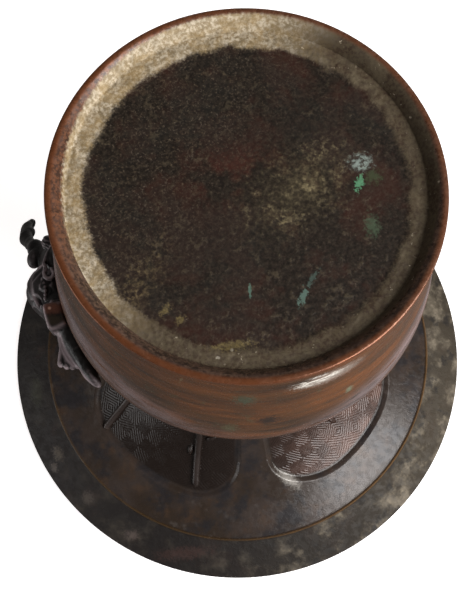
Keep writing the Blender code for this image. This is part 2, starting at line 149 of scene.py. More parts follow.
# Lion
LION_LENGTH = 0.1000
LION_ANGLE = 0.0
LION_HEIGHT = 0.0900
LION_GAP = 0.0004
LION_STEP = 0.4
FAN_OUTER = ((16.0, 7.6, -8.0), (19.6, 8.6, -8.6), (24.4, 8.6, -9.4), (27.0, 10.6, -9.8),
             (29.4, 10.6, -10.2), (30.6, 8.8, -10.4))
FAN_INNER = ((16.4, 6.4, -8.0), (20.2, 7.1, -8.8), (24.4, 7.4, -9.6), (28.0, 7.2, -10.2), (31.2, 6.2, -10.6))
MANE_RIDGE = ((-12.5, 8.6, -1.2), (-11.2, 12.7, 2.0), (-8.2, 14.7, 2.0), (-4.7, 15.4, 2.0),
              (-0.2, 14.3, 0.0), (3.4, 12.6, -2.0))
# Lines of painted highlight along the lion's edges, where light glances off them
RUBBED_HIGHLIGHT_LINES = (
    MANE_RIDGE,
    ((18.4, 6.1, -9.0), (23.7, 6.5, -10.0), (29.9, 5.9, -12.0), (34.0, 5.1, -13.0), (39.0, 4.8, -14.0),
     (43.7, 4.3, -14.0), (43.6, 3.0, -13.0)),
    ((6.6, 8.8, -12.5), (9.9, 9.0, -13.6), (14.6, 8.6, -14.0), (16.3, 7.8, -14.0), (16.4, 5.8, -14.0),
     (15.8, 2.2, -14.0)),
    ((-20.1, 8.2, 1.0), (-15.6, 10.6, -2.0), (-10.1, 10.5, -4.0), (-6.9, 9.3, -5.6), (-5.3, 8.0, -6.0),
     (-5.4, 6.2, -6.0), (-7.4, 5.4, -6.0), (-8.6, 6.8, -6.0), (-7.6, 7.6, -6.0)),
    FAN_OUTER,
    FAN_INNER,
)
LION_LOW = (-42.0, -26.0, -22.0)
LION_HIGH = (50.0, 40.0, 52.0)

# The lion's lines of painted highlight, its rubbed high places and its hollows, in the lion's own units
HIGHLIGHT_REACH = 0.62
STANDS_OUT = (0.010, 0.035)
LIES_IN = (0.008, 0.030)

# Camera: its place, the way out of its back and its upward side
IMAGE_SIZE = (471, 600)
CAMERA_PLACE = Vector((0.01886, -0.10698, -0.24417))
CAMERA_BACK = Vector((0.04331, -0.24562, -0.96840))
CAMERA_UP = Vector((-0.11339, 0.96183, -0.24903))
FOCAL_PIXELS = 850.0
CENTRE_PIXELS = (3.709, 27.288)
SENSOR_WIDTH = 36.0

# Rubbed edge of the foot: wholly rubbed up to the first length, and not at all past the second
WORN_INWARD = (0.0014, 0.0026)
WORN_UPWARD = (0.0006, 0.0016)

# Where the brim's crust and the belly's streaks give way to the flare
BRIM_FADE = 0.0012
STREAKS_ABOVE_BELLY = 0.010
STREAKS_ABOVE_WAIST = 0.020

# Band of painted lilac reflection round the belly's limb, lower towards the lion and opposite it
BELT_RISE = 0.004
BELT_DIP = 0.025
BELT_WIDTH = 0.009

# Light
SKY_LOW = 0.20
SKY_HIGH = 0.40
SKY_TOP = 0.14
SIDE_LEAN = 0.58
SIDE_WAY = (-0.97, -0.25, 0.0)
GROUND_GLOW = 0.80
GROUND_GAP = 0.0002
WARM_WHITE = (1.0, 0.945, 0.91, 1)
LILAC_WHITE = (1.0, 0.93, 0.97)

# Square lights: place, target, length of a side and power
SIDE_LIGHT = ((-0.51, -0.39, -0.42), (0.0, 0.0, 0.06), 0.50, 9.4)
LION_LIGHT = ((0.60, -0.12, 0.10), (0.06, 0.0, 0.09), 0.35, 1.1)
MOUTH_LIGHT = ((0.0, 0.0, 0.90), (0.0, 0.0, 0.20), 1.30, 14)

# Sides on which the solder is pale, partly its own colour and partly painted light; the lit side, towards
# which the flare, belly, brim, panels and raised line are painted lighter as painted light; the side on
# which the edge is rubbed; and the side on which the brim is darker
SOLDER_LIT = (0.79, 0.61, 0.0)
LIT_SIDE = (-0.90, -0.43, 0.0)
RUBBED_SIDE = (0.93, -0.35, 0.0)
DARK_SIDE = (0.20, -0.98, 0.0)

# Colours of the vessel
COPPER = (0.20, 0.062, 0.021, 1)
NEARLY_BLACK = (0.012, 0.009, 0.008, 1)
DARK_BROWN = (0.030, 0.020, 0.014, 1)
WARM_BROWN = (0.088, 0.036, 0.011, 1)
RUST = (0.26, 0.080, 0.015, 1)
LILAC_BROWN = (0.070, 0.054, 0.050, 1)
LILAC_GREY = (0.17, 0.135, 0.125, 1)
OLIVE = (0.085, 0.075, 0.035, 1)
OLIVE_GOLD = (0.24, 0.13, 0.050, 1)
PALE_CRUST = (0.27, 0.225, 0.165, 1)
# Painted highlight colour of the belly's patch of scratches
METAL_HIGHLIGHT = (0.95, 0.90, 0.80, 1)
STAIN_BROWN = (0.062, 0.036, 0.022, 1)
PALE_STAIN = (0.11, 0.095, 0.085, 1)
DEEP_BROWN = (0.028, 0.016, 0.009, 1)
OLIVE_BROWN = (0.045, 0.030, 0.016, 1)
# Painted sheen colour on the belly
SHEEN_GREY = (0.40, 0.33, 0.28, 1)
# Painted lilac reflection colour round the belly's limb
LILAC_SHEEN = (0.36, 0.30, 0.32, 1)
BLUE_BLACK = (0.016, 0.016, 0.019, 1)
# Painted highlight colour at a panel's corner
HIGHLIGHT_GREY = (0.42, 0.39, 0.35, 1)
PANEL_BLACK = (0.013, 0.008, 0.006, 1)
PANEL_BROWN = (0.170, 0.086, 0.062, 1)
BRIM_BROWN = (0.035, 0.020, 0.016, 1)
BRIM_OLIVE = (0.075, 0.058, 0.036, 1)
BRIM_BLACK = (0.018, 0.015, 0.013, 1)
FOOT_BROWN = (0.038, 0.024, 0.018, 1)
FOOT_RED_BROWN = (0.085, 0.048, 0.036, 1)
FOOT_GRIT = (0.20, 0.12, 0.08, 1)
DULL_GOLD = (0.080, 0.045, 0.017, 1)

# Colours of the solder
DARK_SOLDER = (0.070, 0.050, 0.032, 1)
PALE_SOLDER = (0.61, 0.52, 0.39, 1)
SOLDER_GRAIN = (0.26, 0.19, 0.10, 1)
OCHRE = (0.36, 0.24, 0.095, 1)
SOLDER_CLUMP = (0.15, 0.11, 0.055, 1)
SOLDER_SHADE = (0.050, 0.030, 0.018, 1)
SOLDER_DUST = (0.15, 0.12, 0.07, 1)
SOLDER_FADED = (0.20, 0.16, 0.10, 1)
SOLDER_CRUST = (0.20, 0.15, 0.055, 1)
SOLDER_GLINT = (0.50, 0.45, 0.36, 1)

# Colours of the plate's disc
DISC_BLACK = (0.010, 0.0070, 0.0050, 1)
DISC_RED_BROWN = (0.032, 0.011, 0.007, 1)
DISC_GREY = (0.013, 0.013, 0.011, 1)
DISC_DUST = (0.080, 0.062, 0.041, 1)
DISC_GRIT = (0.064, 0.042, 0.031, 1)
DISC_SPECK = (0.13, 0.10, 0.06, 1)
DISC_RED = (0.065, 0.019, 0.012, 1)
DISC_OLIVE = (0.23, 0.185, 0.10, 1)
GRIME = (0.16, 0.115, 0.058, 1)

# Colours of the lion
LION_BLACK = (0.008, 0.0065, 0.006, 1)
LION_GREY = (0.030, 0.026, 0.024, 1)
LION_HOLLOW = (0.004, 0.0035, 0.0035, 1)
MANE_GREY = (0.080, 0.069, 0.073, 1)
MUZZLE_COPPER = (0.21, 0.080, 0.050, 1)
LIP_BROWN = (0.075, 0.055, 0.034, 1)
LION_RUBBED_SHEEN = (0.46, 0.37, 0.39, 1)
TAIL_BLACK = (0.006, 0.005, 0.0045, 1)
GLINT = (0.85, 0.55, 0.42, 1)


def bow(start, start_angle, end, end_angle, count, handle=HANDLE, end_handle=None):
    """Points on a cubic arc between two stations, each with its own direction.

    P(t) = (1-t)^3 A + 3t(1-t)^2 A' + 3t^2(1-t) B' + t^3 B, where A' and B' stand off
    A and B along their directions by their own handles times |AB|.
    """
    start = np.array(start)
    end = np.array(end)
    reach = np.linalg.norm(end - start)
    first = start + handle * reach * np.array([cos(start_angle), sin(start_angle)])
    second = end - (end_handle or handle) * reach * np.array([cos(end_angle), sin(end_angle)])
    t = np.linspace(0.0, 1.0, count)[:, None]
    return ((1 - t) ** 3 * start + 3 * t * (1 - t) ** 2 * first
            + 3 * t ** 2 * (1 - t) * second + t ** 3 * end)


def lengths_of(path):
    """Length along a path at each of its points."""
    steps = np.linalg.norm(np.diff(path, axis=0), axis=1)
    return np.concatenate([[0.0], np.cumsum(steps)])


FOOT = (FOOT_RADIUS, FOOT_ROUND)
BELLY = (BELLY_RADIUS, BELLY_HEIGHT)
WAIST = (WAIST_RADIUS, WAIST_HEIGHT)
PANEL = (PANEL_RADIUS, HEIGHT - PANEL_DROP)
RIDGE = (RIDGE_RADIUS, HEIGHT - RIDGE_DROP)
RIM = (RIM_RADIUS, HEIGHT - WALL * cos(RIM_SLOPE))
FINE = 300
SEGMENTS = [
    bow(FOOT, FOOT_LEAN, BELLY, UPRIGHT, FINE, FOOT_HANDLE, BELLY_HANDLE),
    bow(BELLY, UPRIGHT, WAIST, UPRIGHT, FINE, SHOULDER_HANDLE, WAIST_HANDLE),
    bow(WAIST, UPRIGHT, PANEL, PANEL_SLOPE, FINE, WAIST_HANDLE),
    bow(PANEL, PANEL_SLOPE, RIDGE, RIDGE_SLOPE, FINE),
    bow(RIDGE, RIDGE_SLOPE, RIM, RIM_SLOPE, FINE),
]
OUTLINE = np.vstack([SEGMENTS[0]] + [segment[1:] for segment in SEGMENTS[1:]])
LENGTHS = lengths_of(OUTLINE)
RUNS = np.gradient(OUTLINE, LENGTHS, axis=0)
STATIONS = LENGTHS[[k * (FINE - 1) for k in range(6)]]
S_FOOT, S_BELLY, S_WAIST, S_PANEL, S_RIDGE, S_RIM = STATIONS


def station_at(length):
    """Radius, height and the profile's run in each, at a length along the profile."""
    return [np.interp(length, LENGTHS, values) for values in (*OUTLINE.T, *RUNS.T)]


def vessel_point(length, angle, lift):
    """Point on the vessel's outside: P = R(s) + lift N(s), turned by the angle."""
    radius, height, run_r, run_z = station_at(length)
    size = np.sqrt(run_r ** 2 + run_z ** 2)
    radius = radius + lift * run_z / size
    height = height - lift * run_r / size
    return np.stack([radius * np.cos(angle), radius * np.sin(angle), height], axis=-1)


def radius_at(length):
    """Radius of the vessel's plain outside at a length along its profile."""
    return np.interp(length, LENGTHS, OUTLINE[:, 0])


def turned(profile, angles):
    """A profile of radii and heights carried round the axis to each of the angles."""
    profile = np.asarray(profile)
    return np.stack([profile[:, :1] * np.cos(angles), profile[:, :1] * np.sin(angles),
                     np.broadcast_to(profile[:, 1:], (len(profile), len(angles)))], axis=-1)


def smooth(value, low, high):
    """0 below low, 1 above high, and 3t^2 - 2t^3 between them."""
    t = np.clip((value - low) / (high - low), 0.0, 1.0)
    return t * t * (3 - 2 * t)


def ridge_lift(length):
    """Raised line under the rim: half a cosine wave over its width."""
    t = np.clip(np.abs(length - S_RIDGE) / RIDGE_HALF_WIDTH, 0.0, 1.0)
    return RIDGE_RAISE * (0.5 + 0.5 * np.cos(pi * t))


def lattice(cell, seed):
    """A repeatable number from -1 to 1 for each whole-numbered cell."""
    mixed = cell[..., 0] * 73856093 ^ cell[..., 1] * 19349663 ^ cell[..., 2] * 83492791
    mixed = (mixed ^ seed * 2654435761) & 0x7FFFFFFF
    mixed = (mixed ^ (mixed >> 13)) * 1274126177 & 0x7FFFFFFF
    mixed = (mixed ^ (mixed >> 16)) & 0xFFFFF
    return mixed / 0x80000 - 1.0


def grain(points, size, seed):
    """Smooth random field: lattice values blended between the corners of each cell."""
    scaled = np.asarray(points) / size
    cell = np.floor(scaled).astype(np.int64)
    part = scaled - cell
    part = part * part * (3 - 2 * part)
    total = 0.0
    for corner in np.ndindex(2, 2, 2):
        share = np.prod(np.where(np.array(corner) == 1, part, 1 - part), axis=-1)
        total = total + share * lattice(cell + np.array(corner), seed)
    return total


def layered(points, layers):
    """Sum of the random field's layers, each with its height, size and seed."""
    return sum(height * grain(points, size, seed) for height, size, seed in layers)


def grid_faces(rows, columns, closed_rows=False, closed_columns=False):
    """Quads between neighbouring points of a grid, as one array."""
    row = np.arange(rows if closed_rows else rows - 1)[:, None]
    column = np.arange(columns if closed_columns else columns - 1)[None, :]
    above = (row + 1) % rows
    beside = (column + 1) % columns
    corners = [row * columns + column, row * columns + beside,
               above * columns + beside, above * columns + column]
    return np.stack([np.broadcast_to(c, (len(row), column.shape[1])) for c in corners],
                    axis=-1).reshape(-1, 4)


def make_piece(name, points, faces, material, marks, replaced, sharp=40):
    """A piece of the burner from whole arrays, with named marks at its points."""
    mesh = bpy.data.meshes.new(name)
    faces = [face for group in faces for face in (group.tolist() if hasattr(group, "tolist") else group)]
    mesh.from_pydata(points.tolist(), [], faces)
    for label, values in marks.items():
        layer = mesh.attributes.new(label, "FLOAT", "POINT")
        layer.data.foreach_set("value", np.ascontiguousarray(values, dtype=np.float32).ravel())
    mesh.materials.append(material)
    mesh.shade_smooth()
    mesh.set_sharp_from_angle(angle=radians(sharp))
    piece = bpy.data.objects.new(name, mesh)
    bpy.context.scene.collection.objects.link(piece)
    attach(piece, "root")
    if replaced:
        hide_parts(replaced)
    return piece


# Where the fine patches of the panels begin and end
ZONE_HALF = pi / PANELS - 0.5 * LAND_WIDTH / PANEL_RADIUS + ZONE_MARGIN / PANEL_RADIUS
ZONE_IN = S_PANEL - PANEL_LENGTH - ZONE_MARGIN
ZONE_OUT = S_PANEL + ZONE_MARGIN


def vessel_columns():
    """Angles of the vessel's columns, and which of them lie in a panel's pocket."""
    angles = []
    sunk = []
    step = POCKET_STEP / PANEL_RADIUS
    for number in range(PANELS):
        middle = (2 * number + 1) * pi / PANELS
        quarter = pi / PANELS
        plain = np.linspace(middle - quarter, middle - ZONE_HALF, 13)
        within = np.linspace(middle - ZONE_HALF + step, middle + ZONE_HALF - step, 70)
        after = np.linspace(middle + ZONE_HALF, middle + quarter, 13)[:-1]
        for part, low in ((plain, False), (within, True), (after, False)):
            angles.append(part)
            sunk.append(np.full(len(part), low))
    return np.concatenate(angles), np.concatenate(sunk)


def vessel_rows():
    """Lengths of the outside's rows, and which of them lie in the panels' pockets."""
    step = POCKET_STEP
    parts = [
        (np.linspace(S_FOOT, S_BELLY, 44), False),
        (np.linspace(S_BELLY, S_WAIST, 36)[1:], False),
        (np.linspace(S_WAIST, ZONE_IN, 8)[1:], False),
        (np.linspace(ZONE_IN + step, ZONE_OUT - step, 34), True),
        (np.linspace(ZONE_OUT, S_RIDGE - RIDGE_HALF_WIDTH, 12), False),
        (S_RIDGE + RIDGE_HALF_WIDTH * np.linspace(-1, 1, 11)[1:-1], False),
        (np.linspace(S_RIDGE + RIDGE_HALF_WIDTH, S_RIM, 20), False),
    ]
    rows = np.concatenate([part for part, low in parts])
    sunk = np.concatenate([np.full(len(part), low) for part, low in parts])
    return rows, sunk


def inside_profile():
    """Profile from the rim's lip down the inside to the seat, a wall in from the outside."""
    radius, height, run_r, run_z = station_at(np.linspace(S_RIM, S_FOOT, 60))
    inside = np.column_stack([radius - WALL * run_z, height + WALL * run_r])
    seat_top = SEAT_DEPTH + PLATE_THICKNESS + CLEARANCE
    floor = seat_top + LEDGE_THICKNESS
    wall = inside[inside[:, 1] > floor + FLOOR_FILLET]
    ledge = SEAT_RADIUS - LEDGE_WIDTH
    turn = bow(wall[-1], -UPRIGHT, (ledge, floor), -pi, 8, FLOOR_HANDLE)
    seat = np.array([[ledge, seat_top], [SEAT_RADIUS, seat_top], [SEAT_RADIUS, SEAT_DEPTH]])
    return np.vstack([wall, turn[1:], seat])


def make_vessel(material):
    """The vessel: a turned section with pockets that the panels' fine patches fill."""
    angles, sunk_columns = vessel_columns()
    rows, sunk_rows = vessel_rows()
    land = np.array([FOOT_RADIUS - FOOT_LAND, 0.0])
    bevel = bow((SEAT_RADIUS, SEAT_DEPTH), FOOT_SLOPE[0], land, FOOT_SLOPE[1], 12)[1:]
    foot = bow(land, LAND_LEAN, FOOT, FOOT_LEAN, 7)[1:-1]
    under = np.vstack([bevel, foot])
    under[:, 1] = np.maximum(under[:, 1], 0.0)
    lip_middle = 0.5 * WALL
    lip = []
    for turn in np.linspace(0, pi, 7)[1:-1]:
        lip.append((RIM[0] - lip_middle * sin(RIM_SLOPE) * (1 - cos(turn)),
                    RIM[1] + lip_middle * cos(RIM_SLOPE) * (1 - cos(turn))))
    inside = inside_profile()
    lift = ridge_lift(rows)[:, None] + np.zeros(len(angles))
    lift = lift - POCKET_DEPTH * (sunk_rows[:, None] & sunk_columns[None, :])
    outside = vessel_point(rows[:, None], angles[None, :], lift)
    points = np.concatenate([turned(under, angles), outside, turned(lip, angles), turned(inside, angles)])
    count = len(points)
    start = len(under)
    lengths = np.full(count, S_RIM)
    lengths[:start] = S_FOOT
    lengths[start:start + len(rows)] = rows
    line = np.zeros(count)
    line[start:start + len(rows)] = ridge_lift(rows) / RIDGE_RAISE
    edge = np.zeros(count)
    edge[:start] = smooth(under[:, 0], FOOT_RADIUS - WORN_INWARD[1], FOOT_RADIUS - WORN_INWARD[0])
    edge[start:start + len(rows)] = 1 - smooth(rows, *WORN_UPWARD)
    slope = np.zeros(count)
    slope[:start] = 1.0
    slope[-1] = 1.0
    brim = smooth(lengths, S_RIDGE, S_RIDGE + BRIM_FADE)
    brim[start + len(rows):] = 1.0
    belly = 1 - smooth(lengths, S_BELLY + STREAKS_ABOVE_BELLY, S_WAIST + STREAKS_ABOVE_WAIST)
    belly[start + len(rows):] = 0.0
    faces = grid_faces(count, len(angles), closed_rows=True, closed_columns=True)
    marks = {"line": line, "edge": edge, "slope": slope, "brim": brim, "belly": belly}
    marks = {label: np.repeat(values, len(angles)) for label, values in marks.items()}
    # Painted reflection: a lilac band round the belly's limb
    middle = S_BELLY + BELT_RISE - BELT_DIP * np.abs(np.cos(angles))
    belt_sheen = np.exp(-((lengths[:, None] - middle[None, :]) / BELT_WIDTH) ** 2)
    belt_sheen[:start] = 0.0
    belt_sheen[start + len(rows):] = 0.0
    marks["belt_sheen"] = belt_sheen
    return make_piece("vessel", points.reshape(-1, 3), [faces], material, marks, "body")


def panel_inset(number, offset, length):
    """Distance inside a panel's outline, which has elliptic outer corners.

    In the corner it is k(1 - k) / |grad|, with k the ellipse's own radius, and
    elsewhere the least distance to the straight sides.
    """
    width = PANEL_CORNER_WIDTHS[number]
    side = (pi / PANELS - 0.5 * LAND_WIDTH / PANEL_RADIUS) * PANEL_RADIUS
    x = np.abs(offset) * PANEL_RADIUS
    over = np.maximum(x - (side - width), 0.0) / width
    down = np.maximum(PANEL_CORNER_LENGTH - length, 0.0) / PANEL_CORNER_LENGTH
    k = np.sqrt(over ** 2 + down ** 2)
    slope = np.sqrt((over / width) ** 2 + (down / PANEL_CORNER_LENGTH) ** 2)
    corner = k * (1 - k) / np.maximum(slope, 1e-9)
    corner = np.where((over > 0) & (down > 0), corner, 1.0)
    shrink = radius_at(S_PANEL - length) / PANEL_RADIUS
    sides = np.minimum((side - x) * shrink, np.minimum(length, PANEL_LENGTH - length))
    return np.minimum(corner, sides)


def lozenges(across, along):
    """Diaper of nested lozenges: rounded ridges at equal steps out from each centre."""
    a = np.abs(((across + PATTERN_SHIFT[0]) / PATTERN_ACROSS) % 1.0 - 0.5)
    b = np.abs(((along + PATTERN_SHIFT[1]) / PATTERN_ALONG) % 1.0 - 0.5)
    out = np.minimum(a + b, 1 - a - b)
    return 0.5 + 0.5 * np.cos(4 * pi * PATTERN_LINES * out)


def rod_height(angle, length, start, end, angles):
    """Round-backed bar between two lengths: h sqrt(1 - (x/w)^2), narrowing to its tip."""
    share = (length - start) / (end - start)
    line = angles[0] + share * (angles[1] - angles[0])
    narrow = np.clip(1 - share / STEM_TAPER, 0.0, 1.0)
    width = np.maximum(0.5 * STEM_WIDTH * np.sqrt(1 - narrow ** 2), 1e-5)
    across = (angle - line) * radius_at(S_PANEL - length) / width
    back = np.sqrt(np.clip(1 - across ** 2, 0.0, 1.0))
    return np.where((share > 0) & (share < 1), (PANEL_DEPTH + STEM_RISE) * back ** 0.7, 0.0)


def leaf_height(angle, length, leaf):
    """Pointed leaf with a crease down its middle."""
    run = length - leaf[1]
    slide = (angle - leaf[0]) * radius_at(S_PANEL - length)
    place = (run * cos(leaf[2]) + slide * sin(leaf[2])) / LEAF_LENGTH + 0.5
    across = -run * sin(leaf[2]) + slide * cos(leaf[2])
    swell = np.sin(pi * np.clip(place, 0.0, 1.0)) ** 0.8
    part = np.clip(1 - (across / np.maximum(0.5 * LEAF_WIDTH * swell, 1e-6)) ** 2, 0.0, 1.0)
    crease = 0.75 + 0.25 * smooth(np.abs(across), 0.0, LEAF_CREASE)
    return LEAF_RISE * 1.4 * swell * np.sqrt(part) * crease


def panel_relief(number, angle, offset, length):
    """Lift of a panel's surface, with masks of its rubbed ridges, its hollows with a painted shadow along
    its outline, and its floor.
    """
    inset = panel_inset(number, offset, length)
    floor = smooth(inset, -FILLET_OUT, FILLET_IN)
    inner = smooth(inset, *PATTERN_FADE)
    ridges = lozenges(offset * PANEL_RADIUS, length)
    lift = -PANEL_DEPTH * floor + PATTERN_DEPTH * (ridges - 0.5) * inner
    raised = np.zeros(lift.shape)
    if number == PANELS - 1:
        turned = angle - 2 * pi
        raised = np.maximum(raised, rod_height(turned, length, STEM_START, STEM_END, STEM_ANGLES))
        raised = np.maximum(raised, rod_height(turned, length, TWIG_START, TWIG_END, TWIG_ANGLES))
    for leaf in LEAVES:
        turned = (angle - leaf[0] + pi) % (2 * pi) - pi + leaf[0]
        raised = np.maximum(raised, leaf_height(turned, length, leaf))
    lift = np.where(raised > 0, np.maximum(lift, raised - PANEL_DEPTH), lift)
    # Rubbing on raised leaves, stem, pattern and edges; the material shows it only on the lit side as
    # painted light
    wear_and_sheen = np.where(raised > 0, 0.35 * smooth(raised, *RUBBED_RISE), 0.07 * ridges * inner)
    edge = np.exp(-((inset + RUBBED_EDGE) / RUBBED_EDGE) ** 2)
    hollow = inner * (1 - ridges) * (raised <= 0)
    # Painted shadow: a dark line just inside the panel's outline
    corner = np.exp(-((inset - OUTLINE_SHADOW[0]) / OUTLINE_SHADOW[1]) ** 2)
    return lift, np.maximum(wear_and_sheen, 0.12 * edge), np.maximum(0.6 * hollow, corner), inner


def make_patch(number, material):
    """The fine surface of one panel, a slab that fills its pocket in the vessel."""
    middle = (2 * number + 1) * pi / PANELS
    columns = int(2 * ZONE_HALF * PANEL_RADIUS / PATTERN_STEP)
    count = int((ZONE_OUT - ZONE_IN) / PATTERN_STEP)
    angles = np.linspace(middle - ZONE_HALF, middle + ZONE_HALF, columns)
    rows = np.linspace(ZONE_OUT, ZONE_IN, count)
    angle, row = np.meshgrid(angles, rows)
    lift, wear_and_sheen, hollow, floor = panel_relief(number, angle, angle - middle, S_PANEL - row)
    top = vessel_point(row, angle, lift)
    under_rows = np.linspace(ZONE_OUT, ZONE_IN, 7)
    under_angle, under_row = np.meshgrid(angles, under_rows)
    under = vessel_point(under_row, under_angle, PATCH_BACK - POCKET_DEPTH)
    shift = count * columns
    faces = grid_faces(count, columns)
    back = grid_faces(len(under_rows), columns)[:, ::-1] + shift
    last = (count - 1) * columns
    under_last = shift + (len(under_rows) - 1) * columns
    near = [(c + 1, c, shift + c, shift + c + 1) for c in range(columns - 1)]
    far = [(last + c, last + c + 1, under_last + c + 1, under_last + c) for c in range(columns - 1)]
    ends = []
    for column, flip in ((0, False), (columns - 1, True)):
        loop = [r * columns + column for r in range(count)]
        loop += [shift + r * columns + column for r in range(len(under_rows) - 1, -1, -1)]
        ends.append(loop[::-1] if flip else loop)
    points = np.concatenate([top.reshape(-1, 3), under.reshape(-1, 3)])
    blank = np.zeros(under_angle.size)
    marks = {"wear_and_sheen": wear_and_sheen, "hollow": hollow, "floor": floor}
    marks = {label: np.concatenate([values.ravel(), blank]) for label, values in marks.items()}
    return make_piece(f"panel_{number}", points, [faces, back, near, far, ends], material,
                      marks, None)


def make_base_plate(material):
    """The plate in the foot, with the granular bank of solder round it.

    The bank hangs below the disc by the plate's hollow, less a rounded slope towards
    the middle, and its grains are two sizes of the random field.
    """
    turns = 720
    angles = np.arange(turns) * 2 * pi / turns
    radius = SEAT_RADIUS - SEAM
    radii = np.concatenate([np.linspace(0.0006, radius - SOLDER_WIDTH - 0.002, 24),
                            np.linspace(radius - SOLDER_WIDTH - 0.0016, radius, 30)])
    across, turn = np.meshgrid(radii, angles, indexing="ij")
    flat = np.stack([across * np.cos(turn), across * np.sin(turn), np.zeros(across.shape)], axis=-1)
    wander = layered(flat, BANK_WANDER)
    bank = smooth(across + wander, radius - SOLDER_WIDTH, radius - BANK_FULL * SOLDER_WIDTH)
    grains = layered(flat, SOLDER_GRAINS)
    swell = layered(flat, DISC_SWELL)
    hollow = PLATE_HOLLOW * (1 - BANK_FILL * bank) + bank * (grains + UNDER_GRAINS) + (1 - bank) * swell
    height = SEAT_DEPTH + np.maximum(hollow, LEAST_HOLLOW)
    height[-1] = SEAT_DEPTH + EDGE_HOLLOW
    lower = flat + height[..., None] * np.array([0.0, 0.0, 1.0])
    upper = turned([(share * radius, SEAT_DEPTH + PLATE_THICKNESS) for share in (1.0, 0.6)], angles)
    points = np.concatenate([lower, upper])
    faces = grid_faces(len(points), turns, closed_columns=True)
    caps = [list(range(turns)), list(range((len(points) - 1) * turns, len(points) * turns))[::-1]]
    solder = np.concatenate([bank, np.zeros((2, turns))])
    return make_piece("foot_plate", points.reshape(-1, 3), [faces[:, ::-1], [c[::-1] for c in caps]],
                      material, {"solder": solder}, "base_plate", sharp=60)


def ball(at, centre, size):
    """Distance to an ellipsoid: k(k - 1) / |grad|, near enough close to its surface."""
    gap = at - np.array(centre)
    scaled = np.linalg.norm(gap / size, axis=-1)
    steep = np.linalg.norm(gap / np.array(size) ** 2, axis=-1)
    return scaled * (scaled - 1.0) / np.maximum(steep, 1e-6)


def limb(at, points, radii):
    """Distance to a chain of tapered rods with round joints."""
    best = None
    for start, end, thick, thin in zip(points, points[1:], radii, radii[1:]):
        start = np.array(start, float)
        run = np.array(end, float) - start
        share = np.clip((at - start) @ run / (run @ run), 0.0, 1.0)
        gap = np.linalg.norm(at - start - share[..., None] * run, axis=-1)
        gap = gap - (thick + (thin - thick) * share)
        best = gap if best is None else np.minimum(best, gap)
    return best


def block(at, centre, half, rounding):
    """Distance to a rounded block."""
    gap = np.abs(at - np.array(centre)) - (np.array(half) - rounding)
    outside = np.linalg.norm(np.maximum(gap, 0.0), axis=-1)
    return outside + np.minimum(gap.max(axis=-1), 0.0) - rounding


def blend(first, second, soft):
    """Union of two distances with a soft joint: min(a, b) - s m^2 / 4, m = 1 - |a-b|/s."""
    mix = np.maximum(soft - np.abs(first - second), 0.0) / soft
    return np.minimum(first, second) - mix * mix * soft * 0.25


def blend_all(distances, soft):
    """Union of many distances with soft joints."""
    total = distances[0]
    for distance in distances[1:]:
        total = blend(total, distance, soft)
    return total


def lion_body(at):
    """Trunk with high rump and deep chest, and the four bent legs."""
    trunk = limb(at, [(-16, 7, 14), (-6, 7.5, 13), (2, 5, 7)], [9.0, 8.6, 9.0])
    outer_thigh = limb(at, [(-17, 5.6, 11), (-13.5, 4.8, 1)], [9.0, 6.4])
    outer_shin = limb(at, [(-12.5, 4.5, -1), (-19, 2, -6), (-16, 0.8, -13)], [4.6, 3.6, 3.0])
    outer_hock = ball(at, (-13, 0.6, -14.5), (5.6, 3.8, 3.2))
    inner_thigh = limb(at, [(-17, 3, 14), (-13, -6, 12), (-18, -12, 13)], [8.0, 5.2, 3.8])
    inner_hock = ball(at, (-14, -14, 14), (5.4, 4.0, 4.0))
    foreleg = limb(at, [(5, 4, 1), (16, 2.0, -6), (27, 1.6, -10), (36, 1.8, -12)],
                   [6.6, 4.8, 3.9, 3.0])
    paw = ball(at, (39.4, 2.6, -12.6), (4.4, 2.2, 3.6))
    inner_foreleg = limb(at, [(6, 2, 6), (13, -6, 10), (20, -14, 11)], [6.4, 4.4, 3.4])
    inner_paw = ball(at, (22, -15, 11), (5.0, 4.2, 3.8))
    legs = [outer_thigh, outer_shin, outer_hock, inner_thigh, inner_hock,
            foreleg, paw, inner_foreleg, inner_paw]
    return blend_all([trunk] + legs, 2.6)


def lion_head(at):
    """Head turned down, with a square muzzle, brows, ears and a heavy mane."""
    skull = ball(at, (5.8, 3.2, 1.5), (8.8, 7.6, 9.0))
    muzzle = block(at, (11.5, 5.5, -8.6), (4.9, 3.7, 6.0), 1.2)
    jaw = block(at, (7.0, 2.6, -5.5), (3.2, 4.6, 3.6), 1.4)
    brow = limb(at, [(2.0, 9.8, -1.0), (6.5, 9.6, -2.4), (11.0, 7.0, -1.6)], [1.6, 1.5, 1.5])
    mane = ball(at, (-3.6, 7.2, 6.2), (9.6, 11.4, 10.6))
    lock = ball(at, (-6.0, 13.6, 10.0), (6.6, 5.4, 6.6))
    ear = limb(at, [(-0.6, 12.4, 3.4), (-1.2, 15.4, 7.4)], [2.6, 1.2])
    far_ear = limb(at, [(11.0, 3.0, 8.0), (13.8, 3.4, 12.0)], [2.4, 1.2])
    head = blend_all([skull, muzzle, jaw, brow], 1.2)
    return blend_all([head, mane, lock, ear, far_ear], 1.6)


